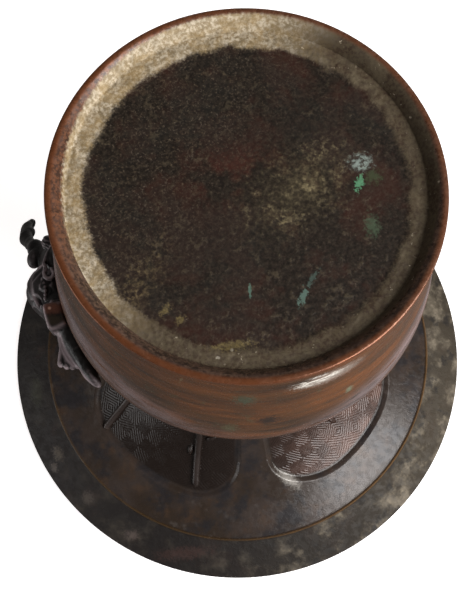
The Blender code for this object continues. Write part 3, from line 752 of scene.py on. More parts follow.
def lion_tail(at):
    """Raised tail: fat curls at its root and a flame of lobes above a narrow stem."""
    root = limb(at, [(-18, 10, 13), (-21.6, 18.5, 18), (-25.3, 26.2, 27)], [4.4, 3.4, 2.0])
    knob = limb(at, [(-20.4, 8.0, 2), (-21.0, 11.0, 2)], [2.8, 2.8])
    curl = ball(at, (-22.2, 21.0, 18.0), (3.2, 3.0, 3.0))
    second_curl = ball(at, (-18.0, 19.2, 16.0), (3.5, 3.2, 3.4))
    flame = limb(at, [(-25.3, 26.2, 27), (-28.1, 30.5, 31.5), (-31.5, 32.8, 35.5), (-34.8, 34.0, 40)],
                 [2.0, 2.8, 2.7, 1.4])
    lobe = ball(at, (-30.3, 29.6, 33.0), (1.8, 1.8, 2.2))
    high_lobe = ball(at, (-34.2, 32.6, 38.0), (1.6, 1.4, 2.2))
    return blend_all([root, knob, curl, second_curl, flame, lobe, high_lobe], 1.0)


def lion_tufts(at):
    """Flame tuft of ribs at the elbow, and the scrolled lower edge of the haunch."""
    tips = [(28.0, 10.3, -9.5), (29.8, 8.6, -9.8), (31.0, 6.8, -10.0), (31.8, 4.9, -10.2)]
    bends = [(22.9, 7.3, -8.5), (23.6, 6.3, -8.8), (24.6, 5.7, -9.0), (25.8, 4.8, -9.2)]
    ribs = [limb(at, [(15.8, 6.2, -6.6), bend, tip], [0.9, 1.0, 1.2])
            for bend, tip in zip(bends, tips)]
    angles = np.linspace(0.2 * pi, 1.8 * pi, 8)
    sweep = [(-7.0 - 2.0 * cos(angle), 7.2 + 2.0 * sin(angle), -5.4) for angle in angles]
    outline = [(-22.4, 4.6, -2), (-18.6, 7.4, -3), (-14.8, 8.8, -4.2), (-11.0, 9.6, -5.0)]
    scroll = limb(at, outline + sweep, [0.8] * (len(outline) + len(sweep)))
    return np.minimum(blend_all(ribs, 0.6), scroll)


def lion_carving(at):
    """Beads and a ridge in the mane, and the eyes under the brow."""
    beads = [(-5.4, 10.0, -3.6), (-3.8, 9.4, -3.8), (-2.3, 9.0, -4.0), (-0.9, 8.9, -4.1), (0.6, 9.0, -4.1),
             (2.0, 9.2, -4.0)]
    balls = [ball(at, place, (0.85, 0.85, 0.85)) for place in beads]
    eyes = [ball(at, place, (1.2, 1.0, 1.0)) for place in ((4.4, 9.0, -2.8), (9.4, 8.2, -3.0))]
    ridge = limb(at, MANE_RIDGE, [0.8] * len(MANE_RIDGE))
    return np.minimum(blend_all(balls, 0.3), np.minimum(blend_all(eyes, 0.3), ridge))


def lion_relief(at):
    """Shallow rings round the mane's curls and rolls along the tail: 0.25 cos(2 pi d / p)."""
    curls = np.array([(-8.0, 13.0, 5.0), (-2.6, 15.0, 5.6), (2.6, 13.0, 5.0), (-5.4, 12.0, 13.0),
                      (1.6, 9.0, 14.0), (-9.0, 8.0, 12.0)])
    near = np.min([np.linalg.norm(at - curl, axis=-1) for curl in curls], axis=0)
    on_mane = 1 - smooth(ball(at, (-3.6, 7.2, 6.2), (9.6, 11.4, 10.6)), 0.6, 1.4)
    rings = 0.25 * np.cos(2 * pi * near / 2.3) * on_mane
    knob = 1 - smooth(limb(at, [(-20.4, 8.0, 2), (-21.0, 11.0, 2)], [2.8, 2.8]), 0.5, 1.0)
    return rings + 0.2 * np.cos(2 * pi * (at[..., 0] + at[..., 2]) / 1.6) * knob


def toe_grooves(at):
    """Three grooves between the toes of the outer fore paw."""
    grooves = [limb(at, [(38.6, 5.2, z), (42.4, 4.2, z), (44.6, 2.4, z)], [0.4, 0.5, 0.5])
               for z in (-14.4, -12.8, -11.2)]
    return np.minimum(np.minimum(grooves[0], grooves[1]), grooves[2])


def vessel_gap(at):
    """Distance from the vessel's outside, in the lion's own units, less the gap kept."""
    unit = LION_LENGTH / 100
    low = OUTLINE[:3 * FINE - 2]
    outline = np.column_stack([low[:, 0] - BELLY_RADIUS, low[:, 1] - LION_HEIGHT]) / unit
    slopes = np.gradient(outline[:, 0], outline[:, 1])
    clear = at[..., 1] - np.interp(at[..., 2], outline[:, 1], outline[:, 0])
    slope = np.interp(at[..., 2], outline[:, 1], slopes)
    return clear / np.sqrt(1 + slope ** 2) - LION_GAP / unit


def lion_surface(at):
    """Distance to the whole lion, cut to stand just clear of the vessel."""
    figure = blend(lion_body(at), lion_head(at), 2.0)
    figure = blend(figure, lion_tail(at), 1.6)
    figure = blend(figure, lion_tufts(at), 0.8)
    figure = blend(figure + lion_relief(at), lion_carving(at), 0.5)
    figure = np.maximum(figure, -toe_grooves(at))
    return np.maximum(figure, -vessel_gap(at))


def near_field(low, high, step, surface):
    """Distances on a fine grid, exact near the surface and interpolated away from it."""
    coarse = 4
    counts = [int((top - bottom) / (step * coarse)) + 1 for bottom, top in zip(low, high)]
    axes = [bottom + step * coarse * np.arange(n) for bottom, n in zip(low, counts)]
    rough = surface(np.stack(np.meshgrid(*axes, indexing="ij"), axis=-1))
    field = rough
    for axis in range(3):
        field = np.moveaxis(field, axis, 0)
        parts = [field[:-1] + (field[1:] - field[:-1]) * (k / coarse) for k in range(coarse)]
        grown = np.stack(parts, axis=1).reshape(-1, *field.shape[1:])
        field = np.moveaxis(np.concatenate([grown, field[-1:]]), 0, axis)
    close = np.abs(field) < step * coarse * 1.8
    places = np.argwhere(close)
    field[close] = surface(np.array(low) + step * places)
    return field


def along(axis, part, rest=slice(None)):
    """Index of one part of a grid along one axis, and of the same part along the others."""
    return tuple(part if k == axis else rest for k in range(3))


def skin(field, low, step):
    """Quads round a field's zero level: a point in each crossed cell, at the mean of
    the crossings on the cell's edges, and a quad round each crossed grid edge."""
    inside = field < 0
    cells = np.array(field.shape) - 1
    total = np.zeros(tuple(cells) + (3,))
    number = np.zeros(tuple(cells))
    for axis in range(3):
        behind, ahead = along(axis, slice(None, -1)), along(axis, slice(1, None))
        crossed = inside[behind] != inside[ahead]
        share = np.where(crossed, field[behind] / np.where(crossed, field[behind] - field[ahead], 1.0), 0.0)
        others = [k for k in range(3) if k != axis]
        for corner in np.ndindex(2, 2):
            window = [slice(None)] * 3
            for other, shift in zip(others, corner):
                window[other] = slice(shift, cells[other] + shift)
            here = crossed[tuple(window)]
            number += here
            total[..., axis] += np.where(here, share[tuple(window)], 0.0)
            for other, shift in zip(others, corner):
                total[..., other] += shift * here
    used = number > 0
    index = np.full(used.shape, -1)
    index[used] = np.arange(used.sum())
    points = np.array(low) + step * (np.argwhere(used) + total[used] / number[used][:, None])
    faces = []
    for axis in range(3):
        behind = along(axis, slice(None, -1), slice(1, -1))
        ahead = along(axis, slice(1, None), slice(1, -1))
        others = [(axis + 1) % 3, (axis + 2) % 3]
        for crossing, order in ((inside[behind] & ~inside[ahead], 1), (~inside[behind] & inside[ahead], -1)):
            ring = []
            for corner in ((0, 0), (1, 0), (1, 1), (0, 1)):
                cell = np.argwhere(crossing)
                cell[:, others] += corner
                ring.append(index[tuple(cell.T)])
            faces.append(np.column_stack(ring)[:, ::order])
    return points, np.concatenate(faces)


def largest_shell(points, faces):
    """Only the biggest connected piece of a mesh."""
    label = np.arange(len(points))
    while True:
        lowest = label[faces].min(axis=1)
        renewed = label.copy()
        np.minimum.at(renewed, faces.ravel(), np.repeat(lowest, faces.shape[1]))
        renewed = renewed[renewed]
        if np.array_equal(renewed, label):
            break
        label = renewed
    names, counts = np.unique(label[faces[:, 0]], return_counts=True)
    kept = faces[label[faces[:, 0]] == names[counts.argmax()]]
    used, inverse = np.unique(kept, return_inverse=True)
    return points[used], inverse.reshape(-1, faces.shape[1])


def lion_to_world(points):
    """Bend the lion round the vessel: round, out and up become a place in metres."""
    unit = LION_LENGTH / 100
    angle = LION_ANGLE - points[:, 0] * unit / BELLY_RADIUS
    radius = BELLY_RADIUS + points[:, 1] * unit
    return np.column_stack([radius * np.cos(angle), radius * np.sin(angle),
                            LION_HEIGHT + points[:, 2] * unit])


def stand_of(points, faces, rounds):
    """How far each point stands out from the mean of its neighbours, then evened out.

    s = (P - mean(P of neighbours)) . N, replaced some times by the neighbours' mean of s.
    """
    starts = faces.ravel()
    ends = np.roll(faces, -1, axis=1).ravel()
    spans = points[faces[:, 2]] - points[faces[:, 0]], points[faces[:, 3]] - points[faces[:, 1]]
    across = np.cross(*spans)
    normals = np.zeros(points.shape)
    count = np.bincount(starts, minlength=len(points))[:, None]

    def of_neighbours(values):
        """Mean of the values at each point's neighbours."""
        total = np.stack([np.bincount(starts, values[ends, k], len(points))
                          for k in range(values.shape[1])], axis=1)
        return total / count

    for corner in range(4):
        np.add.at(normals, faces[:, corner], across)
    normals /= np.linalg.norm(normals, axis=1)[:, None]
    stand = np.sum((points - of_neighbours(points)) * normals, axis=1)[:, None]
    for _ in range(rounds):
        stand = 0.5 * (stand + of_neighbours(stand))
    return stand[:, 0]


def make_lion(material):
    """The lion as one fine skin."""
    field = near_field(LION_LOW, LION_HIGH, LION_STEP, lion_surface)
    points, faces = skin(field, LION_LOW, LION_STEP)
    points, faces = largest_shell(points, faces)
    stand = stand_of(points, faces, 2)
    flatter = np.array([1.0, 1.0, 0.25])
    lines = np.min([limb(points * flatter, np.array(line) * flatter, [0.0] * len(line))
                    for line in RUBBED_HIGHLIGHT_LINES], axis=0)
    # Painted highlight along the listed lines, joined with rubbing on the high places
    rubbed = np.exp(-(lines / HIGHLIGHT_REACH) ** 2)
    marks = {"wear_and_sheen": np.maximum(rubbed, 0.5 * smooth(stand, *STANDS_OUT)),
             "hollow": smooth(-stand, *LIES_IN) * (1 - rubbed)}
    return make_piece("clinging_lion", lion_to_world(points), [faces], material, marks,
                      "lion", sharp=60)


def join(node, sockets):
    """Join a node's inputs to sockets, or give them their values."""
    for label, source in sockets.items():
        if isinstance(source, bpy.types.NodeSocket):
            node.id_data.links.new(source, node.inputs[label])
        else:
            node.inputs[label].default_value = source


def put(tree, kind, sockets=None, **settings):
    """A new node with its settings made and its inputs joined or given their values."""
    node = tree.nodes.new(kind)
    for key, value in settings.items():
        setattr(node, key, value)
    join(node, sockets or {})
    return node


def worked(operation, *values, kind="ShaderNodeMath", output=0, **settings):
    """What an operation gives, in the tree of the sockets among its values."""
    tree = next(value.id_data for value in values if isinstance(value, bpy.types.NodeSocket))
    return put(tree, kind, dict(enumerate(values)), operation=operation, **settings).outputs[output]


def on_vectors(operation, *values, output="Vector"):
    """What an operation on vectors gives, a vector or a single value."""
    return worked(operation, *values, kind="ShaderNodeVectorMath", output=output)


def fade(value, low, high, at_low=0.0, at_high=1.0):
    """A value carried smoothly from one level at low to another at high."""
    return put(value.id_data, "ShaderNodeMapRange",
               {"Value": value, "From Min": low, "From Max": high, "To Min": at_low, "To Max": at_high},
               interpolation_type="SMOOTHSTEP").outputs[0]


def new_group(name, inputs, output, kind):
    """An empty node group: its tree, the sockets of its inputs and the socket of its output."""
    tree = bpy.data.node_groups.new(name, "ShaderNodeTree")
    for label, sort in inputs.items():
        tree.interface.new_socket(label, in_out="INPUT", socket_type="NodeSocket" + sort)
    tree.interface.new_socket(output, in_out="OUTPUT", socket_type="NodeSocket" + kind)
    return tree, tree.nodes.new("NodeGroupInput").outputs, tree.nodes.new("NodeGroupOutput").inputs[output]


def noise_of(vector, scale, detail, roughness):
    """Noise between 0 and 1 at a scale."""
    return put(vector.id_data, "ShaderNodeTexNoise",
               {"Vector": vector, "Scale": scale, "Detail": detail, "Roughness": roughness}).outputs[0]


def blotches_group():
    """Ragged patches: noise of a given size, kept between a low and a high level."""
    tree, start, end = new_group("blotches", {"Vector": "Vector", "Size": "Float", "Low": "Float",
                                              "High": "Float"}, "Mask", "Float")
    noise = noise_of(start["Vector"], worked("DIVIDE", 1.0, start["Size"]), 6.0, 0.62)
    tree.links.new(fade(noise, start["Low"], start["High"]), end)
    return tree


def mark_group():
    """One mark at a place: a turned ellipsoid with its edge torn by noise."""
    tree, start, end = new_group("mark", {"Vector": "Vector", "Place": "Vector", "Turn": "Vector",
                                          "Size": "Vector", "Ragged": "Float", "Soft": "Float"},
                                 "Mask", "Float")
    away = on_vectors("SUBTRACT", start["Vector"], start["Place"])
    turned = put(tree, "ShaderNodeVectorRotate", {"Vector": away, "Rotation": start["Turn"]},
                 rotation_type="EULER_XYZ").outputs[0]
    reach = on_vectors("LENGTH", on_vectors("DIVIDE", turned, start["Size"]), output="Value")
    tear = worked("SUBTRACT", noise_of(start["Vector"], 900.0, 4.0, 0.7), 0.5)
    tree.links.new(fade(worked("MULTIPLY_ADD", tear, start["Ragged"], reach), 1.0, start["Soft"]), end)
    return tree


def turned_group():
    """Coordinates that run slowly round the vessel and fast across it: x, y, k (r + z)."""
    tree, start, end = new_group("round_the_axis", {"Vector": "Vector", "Stretch": "Float"},
                                 "Vector", "Vector")
    x, y, z = put(tree, "ShaderNodeSeparateXYZ", {0: start["Vector"]}).outputs
    flat = put(tree, "ShaderNodeCombineXYZ", {0: x, 1: y}).outputs[0]
    rise = worked("ADD", on_vectors("LENGTH", flat, output="Value"), z)
    fast = worked("MULTIPLY", rise, start["Stretch"])
    tree.links.new(put(tree, "ShaderNodeCombineXYZ", {0: x, 1: y, 2: fast}).outputs[0], end)
    return tree


BLOTCHES = blotches_group()
MARK = mark_group()
TURNED = turned_group()


def new_material(name):
    """A material with its shader and object coordinates at hand."""
    material = bpy.data.materials.new(name)
    material.use_nodes = True
    tree = material.node_tree
    return material, tree.nodes["Principled BSDF"], put(tree, "ShaderNodeTexCoord").outputs["Object"]


def grouped(group, sockets):
    """What a shared group gives in the tree of the coordinates among its values."""
    return put(sockets["Vector"].id_data, "ShaderNodeGroup", sockets, node_tree=group).outputs[0]


def blotches(vector, size, low, high):
    """A patchy mask from the shared group."""
    return grouped(BLOTCHES, {"Vector": vector, "Size": size, "Low": low, "High": high})


def mark(vector, place, turn, size, ragged, soft=0.55):
    """One mark from the shared group, its place and size in millimetres.

    Its turn is an angle round the axis, or the three angles that lay it along X.
    """
    turn = turn if isinstance(turn, tuple) else (0, 0, radians(turn))
    place, size = [[0.001 * value for value in values] for values in (place, size)]
    return grouped(MARK, {"Vector": vector, "Place": place, "Turn": turn, "Size": size,
                          "Ragged": ragged, "Soft": soft})


def streak(vector, start, end, thick, ragged=1.6):
    """A thin mark between two places in millimetres."""
    run = Vector(end) - Vector(start)
    middle = 0.5 * (Vector(end) + Vector(start))
    turn = run.rotation_difference(Vector((1, 0, 0))).to_euler("XYZ")
    return mark(vector, tuple(middle), tuple(turn), (0.55 * run.length, thick, thick), ragged)


def round_axis(vector, stretch):
    """The shared group's coordinates for streaks that run round the vessel."""
    return grouped(TURNED, {"Vector": vector, "Stretch": stretch})


def stretched(vector, turn, scale):
    """Coordinates turned by three angles in degrees, then stretched along their axes."""
    return put(vector.id_data, "ShaderNodeMapping",
               {"Vector": vector, "Rotation": [radians(part) for part in turn], "Scale": scale}).outputs[0]


def towards(vector, way, low, high):
    """0 to 1 along a direction, between two lengths in metres."""
    return fade(on_vectors("DOT_PRODUCT", vector, way, output="Value"), low, high)


def named(vector, label):
    """The value of a mark made with the mesh, in the tree of the coordinates."""
    return put(vector.id_data, "ShaderNodeAttribute", attribute_name=label).outputs["Fac"]


def tint(mask, under, over):
    """One colour laid over another through a mask."""
    return put(mask.id_data, "ShaderNodeMix", {0: mask, 6: under, 7: over}, data_type="RGBA").outputs[2]


def overlaid(colour, layers):
    """Colours laid over another in turn: each layer has a mask, its share of strength and a colour."""
    for mask, share, over in layers:
        colour = tint(times(mask, share), colour, over)
    return colour


def level(mask, under, over):
    """One value laid over another through a mask."""
    return put(mask.id_data, "ShaderNodeMix", {0: mask, 2: under, 3: over}).outputs[0]


def times(first, *others):
    """Product of masks."""
    for other in others:
        first = worked("MULTIPLY", first, other)
    return first


def plus(first, second):
    """Sum of two masks, kept at 1 or less."""
    return worked("ADD", first, second, use_clamp=True)


def bump(height, distance):
    """Normal of a small relief from a height between 0 and 1."""
    return put(height.id_data, "ShaderNodeBump",
               {"Height": height, "Strength": 1.0, "Distance": distance}).outputs["Normal"]


def solder_colour(place):
    """Granular solder: pale yellow towards the lion's side, partly its own colour and partly painted light,
    brown with a few pale grains beyond.
    """
    coarse = blotches(place, 0.006, 0.42, 0.62)
    fine = blotches(place, 0.0011, 0.38, 0.60)
    pale = overlaid(PALE_SOLDER, (
        (fine, 0.85, SOLDER_GRAIN),
        (coarse, 0.5, OCHRE),
        (blotches(place, 0.0034, 0.44, 0.62), 0.42, SOLDER_CLUMP)))
    dull = overlaid(DARK_SOLDER, (
        (coarse, 1.0, SOLDER_SHADE),
        (fine, 0.4, SOLDER_DUST),
        (blotches(place, 0.0024, 0.64, 0.72), 0.9, PALE_SOLDER),
        (blotches(place, 0.011, 0.54, 0.66), 0.35, SOLDER_FADED)))
    # Partly painted light: the pale copy towards the solder's lit side, and the dull copy, as painted shade,
    # away from it
    return tint(towards(place, SOLDER_LIT, -0.004, 0.030), dull, pale)


def flare_colour(place, lit_side):
    """Dark brown flare with lilac-brown patches, painted a little stronger on the lit side as painted light,
    brown stains and a few paler ones.
    """
    return overlaid(DARK_BROWN, (
        # Painted light: stronger lilac-brown on the lit side
        (blotches(place, 0.026, 0.40, 0.64), level(lit_side, 0.35, 0.42), LILAC_BROWN),
        (blotches(place, 0.010, 0.52, 0.68), 0.6, STAIN_BROWN),
        (blotches(place, 0.007, 0.60, 0.72), 0.35, PALE_STAIN)))


def belly_colour(place, rings, lit_side):
    """Belly streaked round with rust, painted stronger on the lit side as painted light, its marks, a
    painted sheen, a painted highlight on a patch of scratches and a band of painted lilac reflection
    strongest at its sides; also the mask of that patch of scratches and painted highlight.
    """
    # Painted highlight: a patch of scratches where light glances off the belly, also bumped
    cluster = mark(place, (-14.2, -62.0, 9.6), 13, (10.5, 4.0, 6.0), 1.6, 0.3)
    lines = blotches(stretched(place, (0, 35, 0), (1.0, 1.0, 6.0)), 0.0080, 0.46, 0.56)
    scratch_highlight = times(cluster, lines)
    # Painted reflection: the lilac band round the limb, strongest at the sides towards +X and -X
    belt_sheen = times(named(place, "belt_sheen"), blotches(rings, 0.012, 0.30, 0.55))
    sides = plus(towards(place, (1.0, 0.0, 0.0), 0.010, 0.060), towards(place, (-1.0, 0.0, 0.0), 0.0, 0.050))
    wall = overlaid(DEEP_BROWN, (
        (blotches(rings, 0.024, 0.28, 0.68), 1.0, WARM_BROWN),
        # Painted light: more rust colour on the lit side
        (blotches(rings, 0.045, 0.34, 0.80), level(lit_side, 0.58, 0.85), RUST),
        (blotches(place, 0.010, 0.50, 0.72), 0.5, OLIVE_BROWN),
        (blotches(place, 0.005, 0.60, 0.72), 0.5, OLIVE),
        (mark(place, (8.2, -63.9, 18.1), 0, (5.0, 4.0, 7.0), 2.6, 0.2), 0.8, (0.055, 0.075, 0.045, 1)),
        (mark(place, (-27.7, -61.3, 36.6), 0, (2.2, 2.2, 3.4), 1.8, 0.3), 0.8, (0.17, 0.20, 0.13, 1)),
        (mark(place, (0.4, -67.9, 40.2), 0, (5.0, 3.0, 5.0), 2.4, 0.3), 0.8, NEARLY_BLACK),
        (mark(place, (13.3, -68.1, 47.8), 0, (4.0, 3.0, 5.0), 2.8, 0.4), 0.8, OLIVE),
        (streak(place, (26.5, -57.3, 4.8), (32.6, -59.5, 32.2), 0.7), 0.8, (0.20, 0.15, 0.07, 1)),
        # Painted sheen: a pale patch low on the belly's lit side
        (mark(place, (-19.0, -60.5, 11.0), 17, (15.0, 6.0, 8.0), 1.2, 0.1), 0.80, SHEEN_GREY),
        (scratch_highlight, 1.0, METAL_HIGHLIGHT),
        (belt_sheen, level(sides, 0.12, 0.55), LILAC_SHEEN)))
    return wall, scratch_highlight


def brim_colour(place, lit_side, fine, crust):
    """Rough dark brim with a pale crust; its olive tone and the crust are painted strongest on the lit side
    as painted light, and it is darker on the -Y side.
    """
    clump = blotches(place, 0.034, 0.42, 0.62)
    return overlaid(NEARLY_BLACK, (
        (blotches(place, 0.018, 0.52, 0.68), 0.6, BRIM_BROWN),
        # Painted light: olive tone on the lit side
        (lit_side, 0.6, BRIM_OLIVE),
        (towards(place, DARK_SIDE, 0.04, 0.105), 0.55, NEARLY_BLACK),
        # Pale crust, its strength partly painted light from the lit side
        (times(crust, level(fine, 0.45, 1.0)), plus(times(clump, 0.20), lit_side), PALE_CRUST),
        (mark(place, (114, -12, 224), 0, (6.0, 13.0, 9.0), 1.8, 0.1), 0.38, (0.060, 0.062, 0.040, 1)),
        (mark(place, (104.5, -47.6, 224), 25, (4.0, 6.0, 9.0), 2.0, 0.2), 0.38, (0.16, 0.13, 0.10, 1)),
        (mark(place, (107.9, -54.3, 224), 25, (3.0, 4.0, 9.0), 2.0, 0.2), 0.38, (0.17, 0.14, 0.12, 1)),
        (mark(place, (90.5, -73.0, 224), 0, (5.0, 5.0, 9.0), 2.0, 0.2), 0.38, (0.11, 0.09, 0.075, 1)),
        (mark(place, (69.2, -95.2, 224), 0, (6.0, 4.0, 9.0), 2.0, 0.2), 0.38, (0.15, 0.11, 0.10, 1)),
        (mark(place, (42, -108, 224), 0, (22.0, 5.0, 9.0), 2.0, 0.2), 0.38, (0.085, 0.042, 0.034, 1)),
        (blotches(place, 0.011, 0.52, 0.64), 0.8, BRIM_BLACK)))


def foot_colour(place, fine, banked):
    """Slope inside the foot's edge: gritty brown, coppery near the lion, and solder where it is banked."""
    grit = blotches(place, 0.0013, 0.40, 0.66)
    return overlaid(FOOT_BROWN, (
        (fine, 1.0, FOOT_RED_BROWN),
        (grit, 0.6, FOOT_GRIT),
        (towards(place, SOLDER_LIT, 0.020, 0.050), level(grit, 0.10, 0.60), COPPER),
        (banked, 1.0, solder_colour(place))))


def vessel_material():
    """Patinated bronze: brown streaks on the belly, lilac-brown flare, crusted brim, copper showing where
    the foot's edge and the raised line are rubbed.
    Painted light: the flare, belly, brim, panels and raised line are painted lighter on the lit side, with a
    painted highlight and a painted sheen low on the belly, a band of painted lilac reflection round it, a
    painted highlight at a panel's corner and painted shadow along the panels' outlines."""
    material, shader, place = new_material("aged_bronze")
    belly, brim, slope, hollow = [named(place, label) for label in ("belly", "brim", "slope", "hollow")]
    rings = round_axis(place, 4.5)
    fine = blotches(place, 0.0035, 0.40, 0.66)
    crust = blotches(place, 0.013, 0.46, 0.70)
    # Painted light: mask of the lit side, which paints the flare, belly, brim, panels and raised line
    # lighter
    lit_side = towards(place, LIT_SIDE, 0.01, 0.12)
    banked = mark(place, (-1.2, 1.7, 0.0), 0, (59.6, 59.6, 59.6), 0.03, 0.985)
    ragged = blotches(rings, 0.040, 0.25, 0.75)
    mottled = level(blotches(place, 0.014, 0.40, 0.62), 0.45, 1.0)
    # Painted light: the panels' hollows are darkened and their rubbing shown only on the lit side, in
    # patches
    kept = times(level(blotches(place, 0.020, 0.40, 0.60), 0.50, 1.0), level(lit_side, 0.45, 1.0))
    worn = level(blotches(place, 0.008, 0.25, 0.75), 0.6, 1.0)
    lionward = level(towards(place, RUBBED_SIDE, -0.04, 0.06), 0.6, 1.0)
    rubbed = times(named(place, "edge"), worn, lionward)
    wall, scratch_highlight = belly_colour(place, rings, lit_side)
    colour = overlaid(flare_colour(place, lit_side), (
        (level(belly, times(belly, ragged), belly), 1.0, wall),
        (times(blotches(place, 0.015, 0.46, 0.62), 0.75), level(belly, 1.0, 0.0), BLUE_BLACK),
        # Painted highlight at the lower-left corner of a panel
        (mark(place, (-17.6, -77.0, 208.5), -47, (12.0, 4.5, 8.0), 1.6, 0.0), 0.80, HIGHLIGHT_GREY),
        # Painted light: panel floors brown on the lit side, near black away from it
        (named(place, "floor"), 1.0, tint(times(lit_side, mottled), PANEL_BLACK, PANEL_BROWN)),
        (brim, 1.0, brim_colour(place, lit_side, fine, crust)),
        # Darkened hollows and painted shadow at the panels' outlines, only on the lit side
        (times(hollow, kept), 0.72, NEARLY_BLACK),
        # Rubbing and painted sheen, shown only on the lit side
        (named(place, "wear_and_sheen"), kept, LILAC_GREY),
        (slope, 1.0, foot_colour(place, fine, banked)),
        # Painted light: the raised line painted lighter olive gold on the lit side
        (times(named(place, "line"), worn), 0.8, tint(lit_side, DULL_GOLD, OLIVE_GOLD)),
        (rubbed, 1.0, COPPER),
        (streak(place, (42.6, -43.4, 0.4), (44.6, -46.0, 1.6), 0.6, 1.0), 1.0, NEARLY_BLACK),
        (streak(place, (38.2, -47.6, 0.4), (39.6, -50.0, 1.4), 0.5, 1.0), 1.0, NEARLY_BLACK)))
    gloss = level(brim, level(fine, 0.24, 0.34), level(fine, 0.55, 0.75))
    tooth = level(brim, times(fine, 0.30), plus(fine, crust))
    join(shader, {"Base Color": colour, "Metallic": level(rubbed, 0.10, 0.60),
                  "Roughness": level(times(slope, banked), gloss, 0.62), "IOR": 1.37,
                  "Normal": bump(plus(tooth, times(scratch_highlight, 0.6)), 0.00012)})
    return material


def plate_material():
    """Dark mottled plate with olive and green marks, and its granular solder."""
    material, shader, place = new_material("foot_plate_bronze")
    fine = blotches(place, 0.0017, 0.38, 0.80)
    grit = blotches(place, 0.0007, 0.36, 0.78)
    speck = blotches(place, 0.0034, 0.56, 0.70)
    broad = blotches(place, 0.016, 0.44, 0.62)
    reddish = mark(place, (4.0, 6.0, 5.3), 0, (17, 13, 40), 1.8, 0.0)
    olive = times(mark(place, (-16.0, -1.0, 5.3), 35, (25, 16, 60), 2.4, 0.0),
                  level(blotches(place, 0.008, 0.40, 0.62), 0.25, 1.0))
    mottled = plus(times(fine, 0.8), plus(times(speck, 0.9), 0.18))
    crumbly = times(mark(place, (-37.4, 5.6, 5.3), 0, (5.4, 4.2, 9), 2.0, 0.1),
                    plus(blotches(place, 0.0016, 0.42, 0.56), 0.1))
    grime = mark(place, (38.5, -29.5, 5.3), -38, (7.0, 24.0, 9), 2.0, 0.0)
    disc = overlaid(DISC_BLACK, (
        (broad, 1.0, DISC_RED_BROWN),
        (blotches(place, 0.030, 0.45, 0.60), 0.6, DISC_GREY),
        (fine, 0.36, DISC_DUST),
        (grit, 0.38, DISC_GRIT),
        (speck, 0.26, DISC_SPECK),
        (times(reddish, broad), 0.6, DISC_RED),
        (times(olive, mottled), 0.95, DISC_OLIVE),
        (crumbly, 0.85, (0.30, 0.36, 0.32, 1)),
        (streak(place, (-37.1, 1.5, 5.3), (-34.8, -4.0, 5.3), 1.4, 3.4), 0.85, (0.11, 0.30, 0.16, 1)),
        (mark(place, (-40.6, 0.5, 5.3), 0, (3.8, 3.4, 9), 2.6, 0.2), 0.85, (0.050, 0.062, 0.030, 1)),
        (streak(place, (-18.7, -28.4, 5.3), (-13.8, -34.3, 5.3), 1.0, 3.8), 0.85, (0.06, 0.085, 0.07, 1)),
        (streak(place, (-14.2, -33.5, 5.3), (-11.4, -39.4, 5.3), 1.2, 3.6), 0.85, (0.105, 0.165, 0.135, 1)),
        (streak(place, (2.8, -30, 5.3), (3.3, -35, 5.3), 0.6, 2.0), 0.85, (0.10, 0.17, 0.13, 1)),
        (mark(place, (-37.6, -15.7, 5.3), 0, (3.0, 5.0, 9), 2.8, 0.2), 0.85, (0.060, 0.085, 0.050, 1)),
        (times(grime, plus(fine, speck)), 0.9, GRIME)))
    crusts = [mark(place, where, turn, size, 2.2, 0.2)
              for where, turn, size in (((25.3, -39.3, 5.3), 40, (3.0, 2.0, 9)),
                                        ((29.5, -35.7, 5.3), 40, (4.0, 2.0, 9)),
                                        ((9.6, -49.0, 5.3), 0, (10.0, 2.4, 9)))]
    glints = [mark(place, where, 0, size, 1.6)
              for where, size in (((15.2, -52.4, 5.3), (0.8, 0.6, 9)), ((10.7, -50.5, 5.3), (0.7, 0.6, 9)))]
    bank = overlaid(solder_colour(place), [(spot, 0.7, SOLDER_CRUST) for spot in crusts]
                    + [(spot, 0.45, SOLDER_GLINT) for spot in glints])
    solder = named(place, "solder")
    for spot in crusts:
        solder = plus(solder, times(spot, 0.6))
    solder = fade(worked("MULTIPLY_ADD", grit, 0.45, solder), 0.12, 1.15)
    join(shader, {"Base Color": tint(solder, disc, bank), "Metallic": 0.1,
                  "Roughness": level(solder, 0.46, 0.62), "IOR": 1.33,
                  "Normal": bump(plus(times(fine, 0.7), times(speck, 0.3)), 0.00010)})
    return material


def lion_material():
    """Nearly black bronze, greyer on the rubbed high places and along lines of painted highlight at its
    edges, copper on the muzzle.
    """
    material, shader, place = new_material("lion_bronze")
    fine = blotches(place, 0.003, 0.40, 0.64)
    colour = overlaid(LION_BLACK, (
        (fine, 0.6, LION_GREY),
        (named(place, "hollow"), 1.0, LION_HOLLOW),
        (mark(place, (84.0, 1.0, 90.0), 0, (6.0, 14.0, 16.0), 1.2, 0.0), 0.45, MANE_GREY),
        (mark(place, (76.5, -9.6, 76.4), -8, (7.0, 3.8, 3.2), 0.8, 0.35), 1.0, MUZZLE_COPPER),
        (mark(place, (75.6, -14.6, 76.0), -8, (6.0, 3.0, 3.2), 0.8, 0.35), 0.7, LIP_BROWN),
        # Rubbing and painted highlight lines
        (named(place, "wear_and_sheen"), 0.85, LION_RUBBED_SHEEN),
        (towards(place, (0.0, 0.80, 0.60), 0.074, 0.092), 0.85, TAIL_BLACK),
        (mark(place, (77.0, -9.6, 75.6), 0, (0.9, 0.9, 1.4), 0.4, 0.3), 1.0, GLINT)))
    join(shader, {"Base Color": colour, "Metallic": 0.1, "Roughness": level(fine, 0.30, 0.45),
                  "IOR": 1.38, "Normal": bump(fine, 0.00008)})
    return material


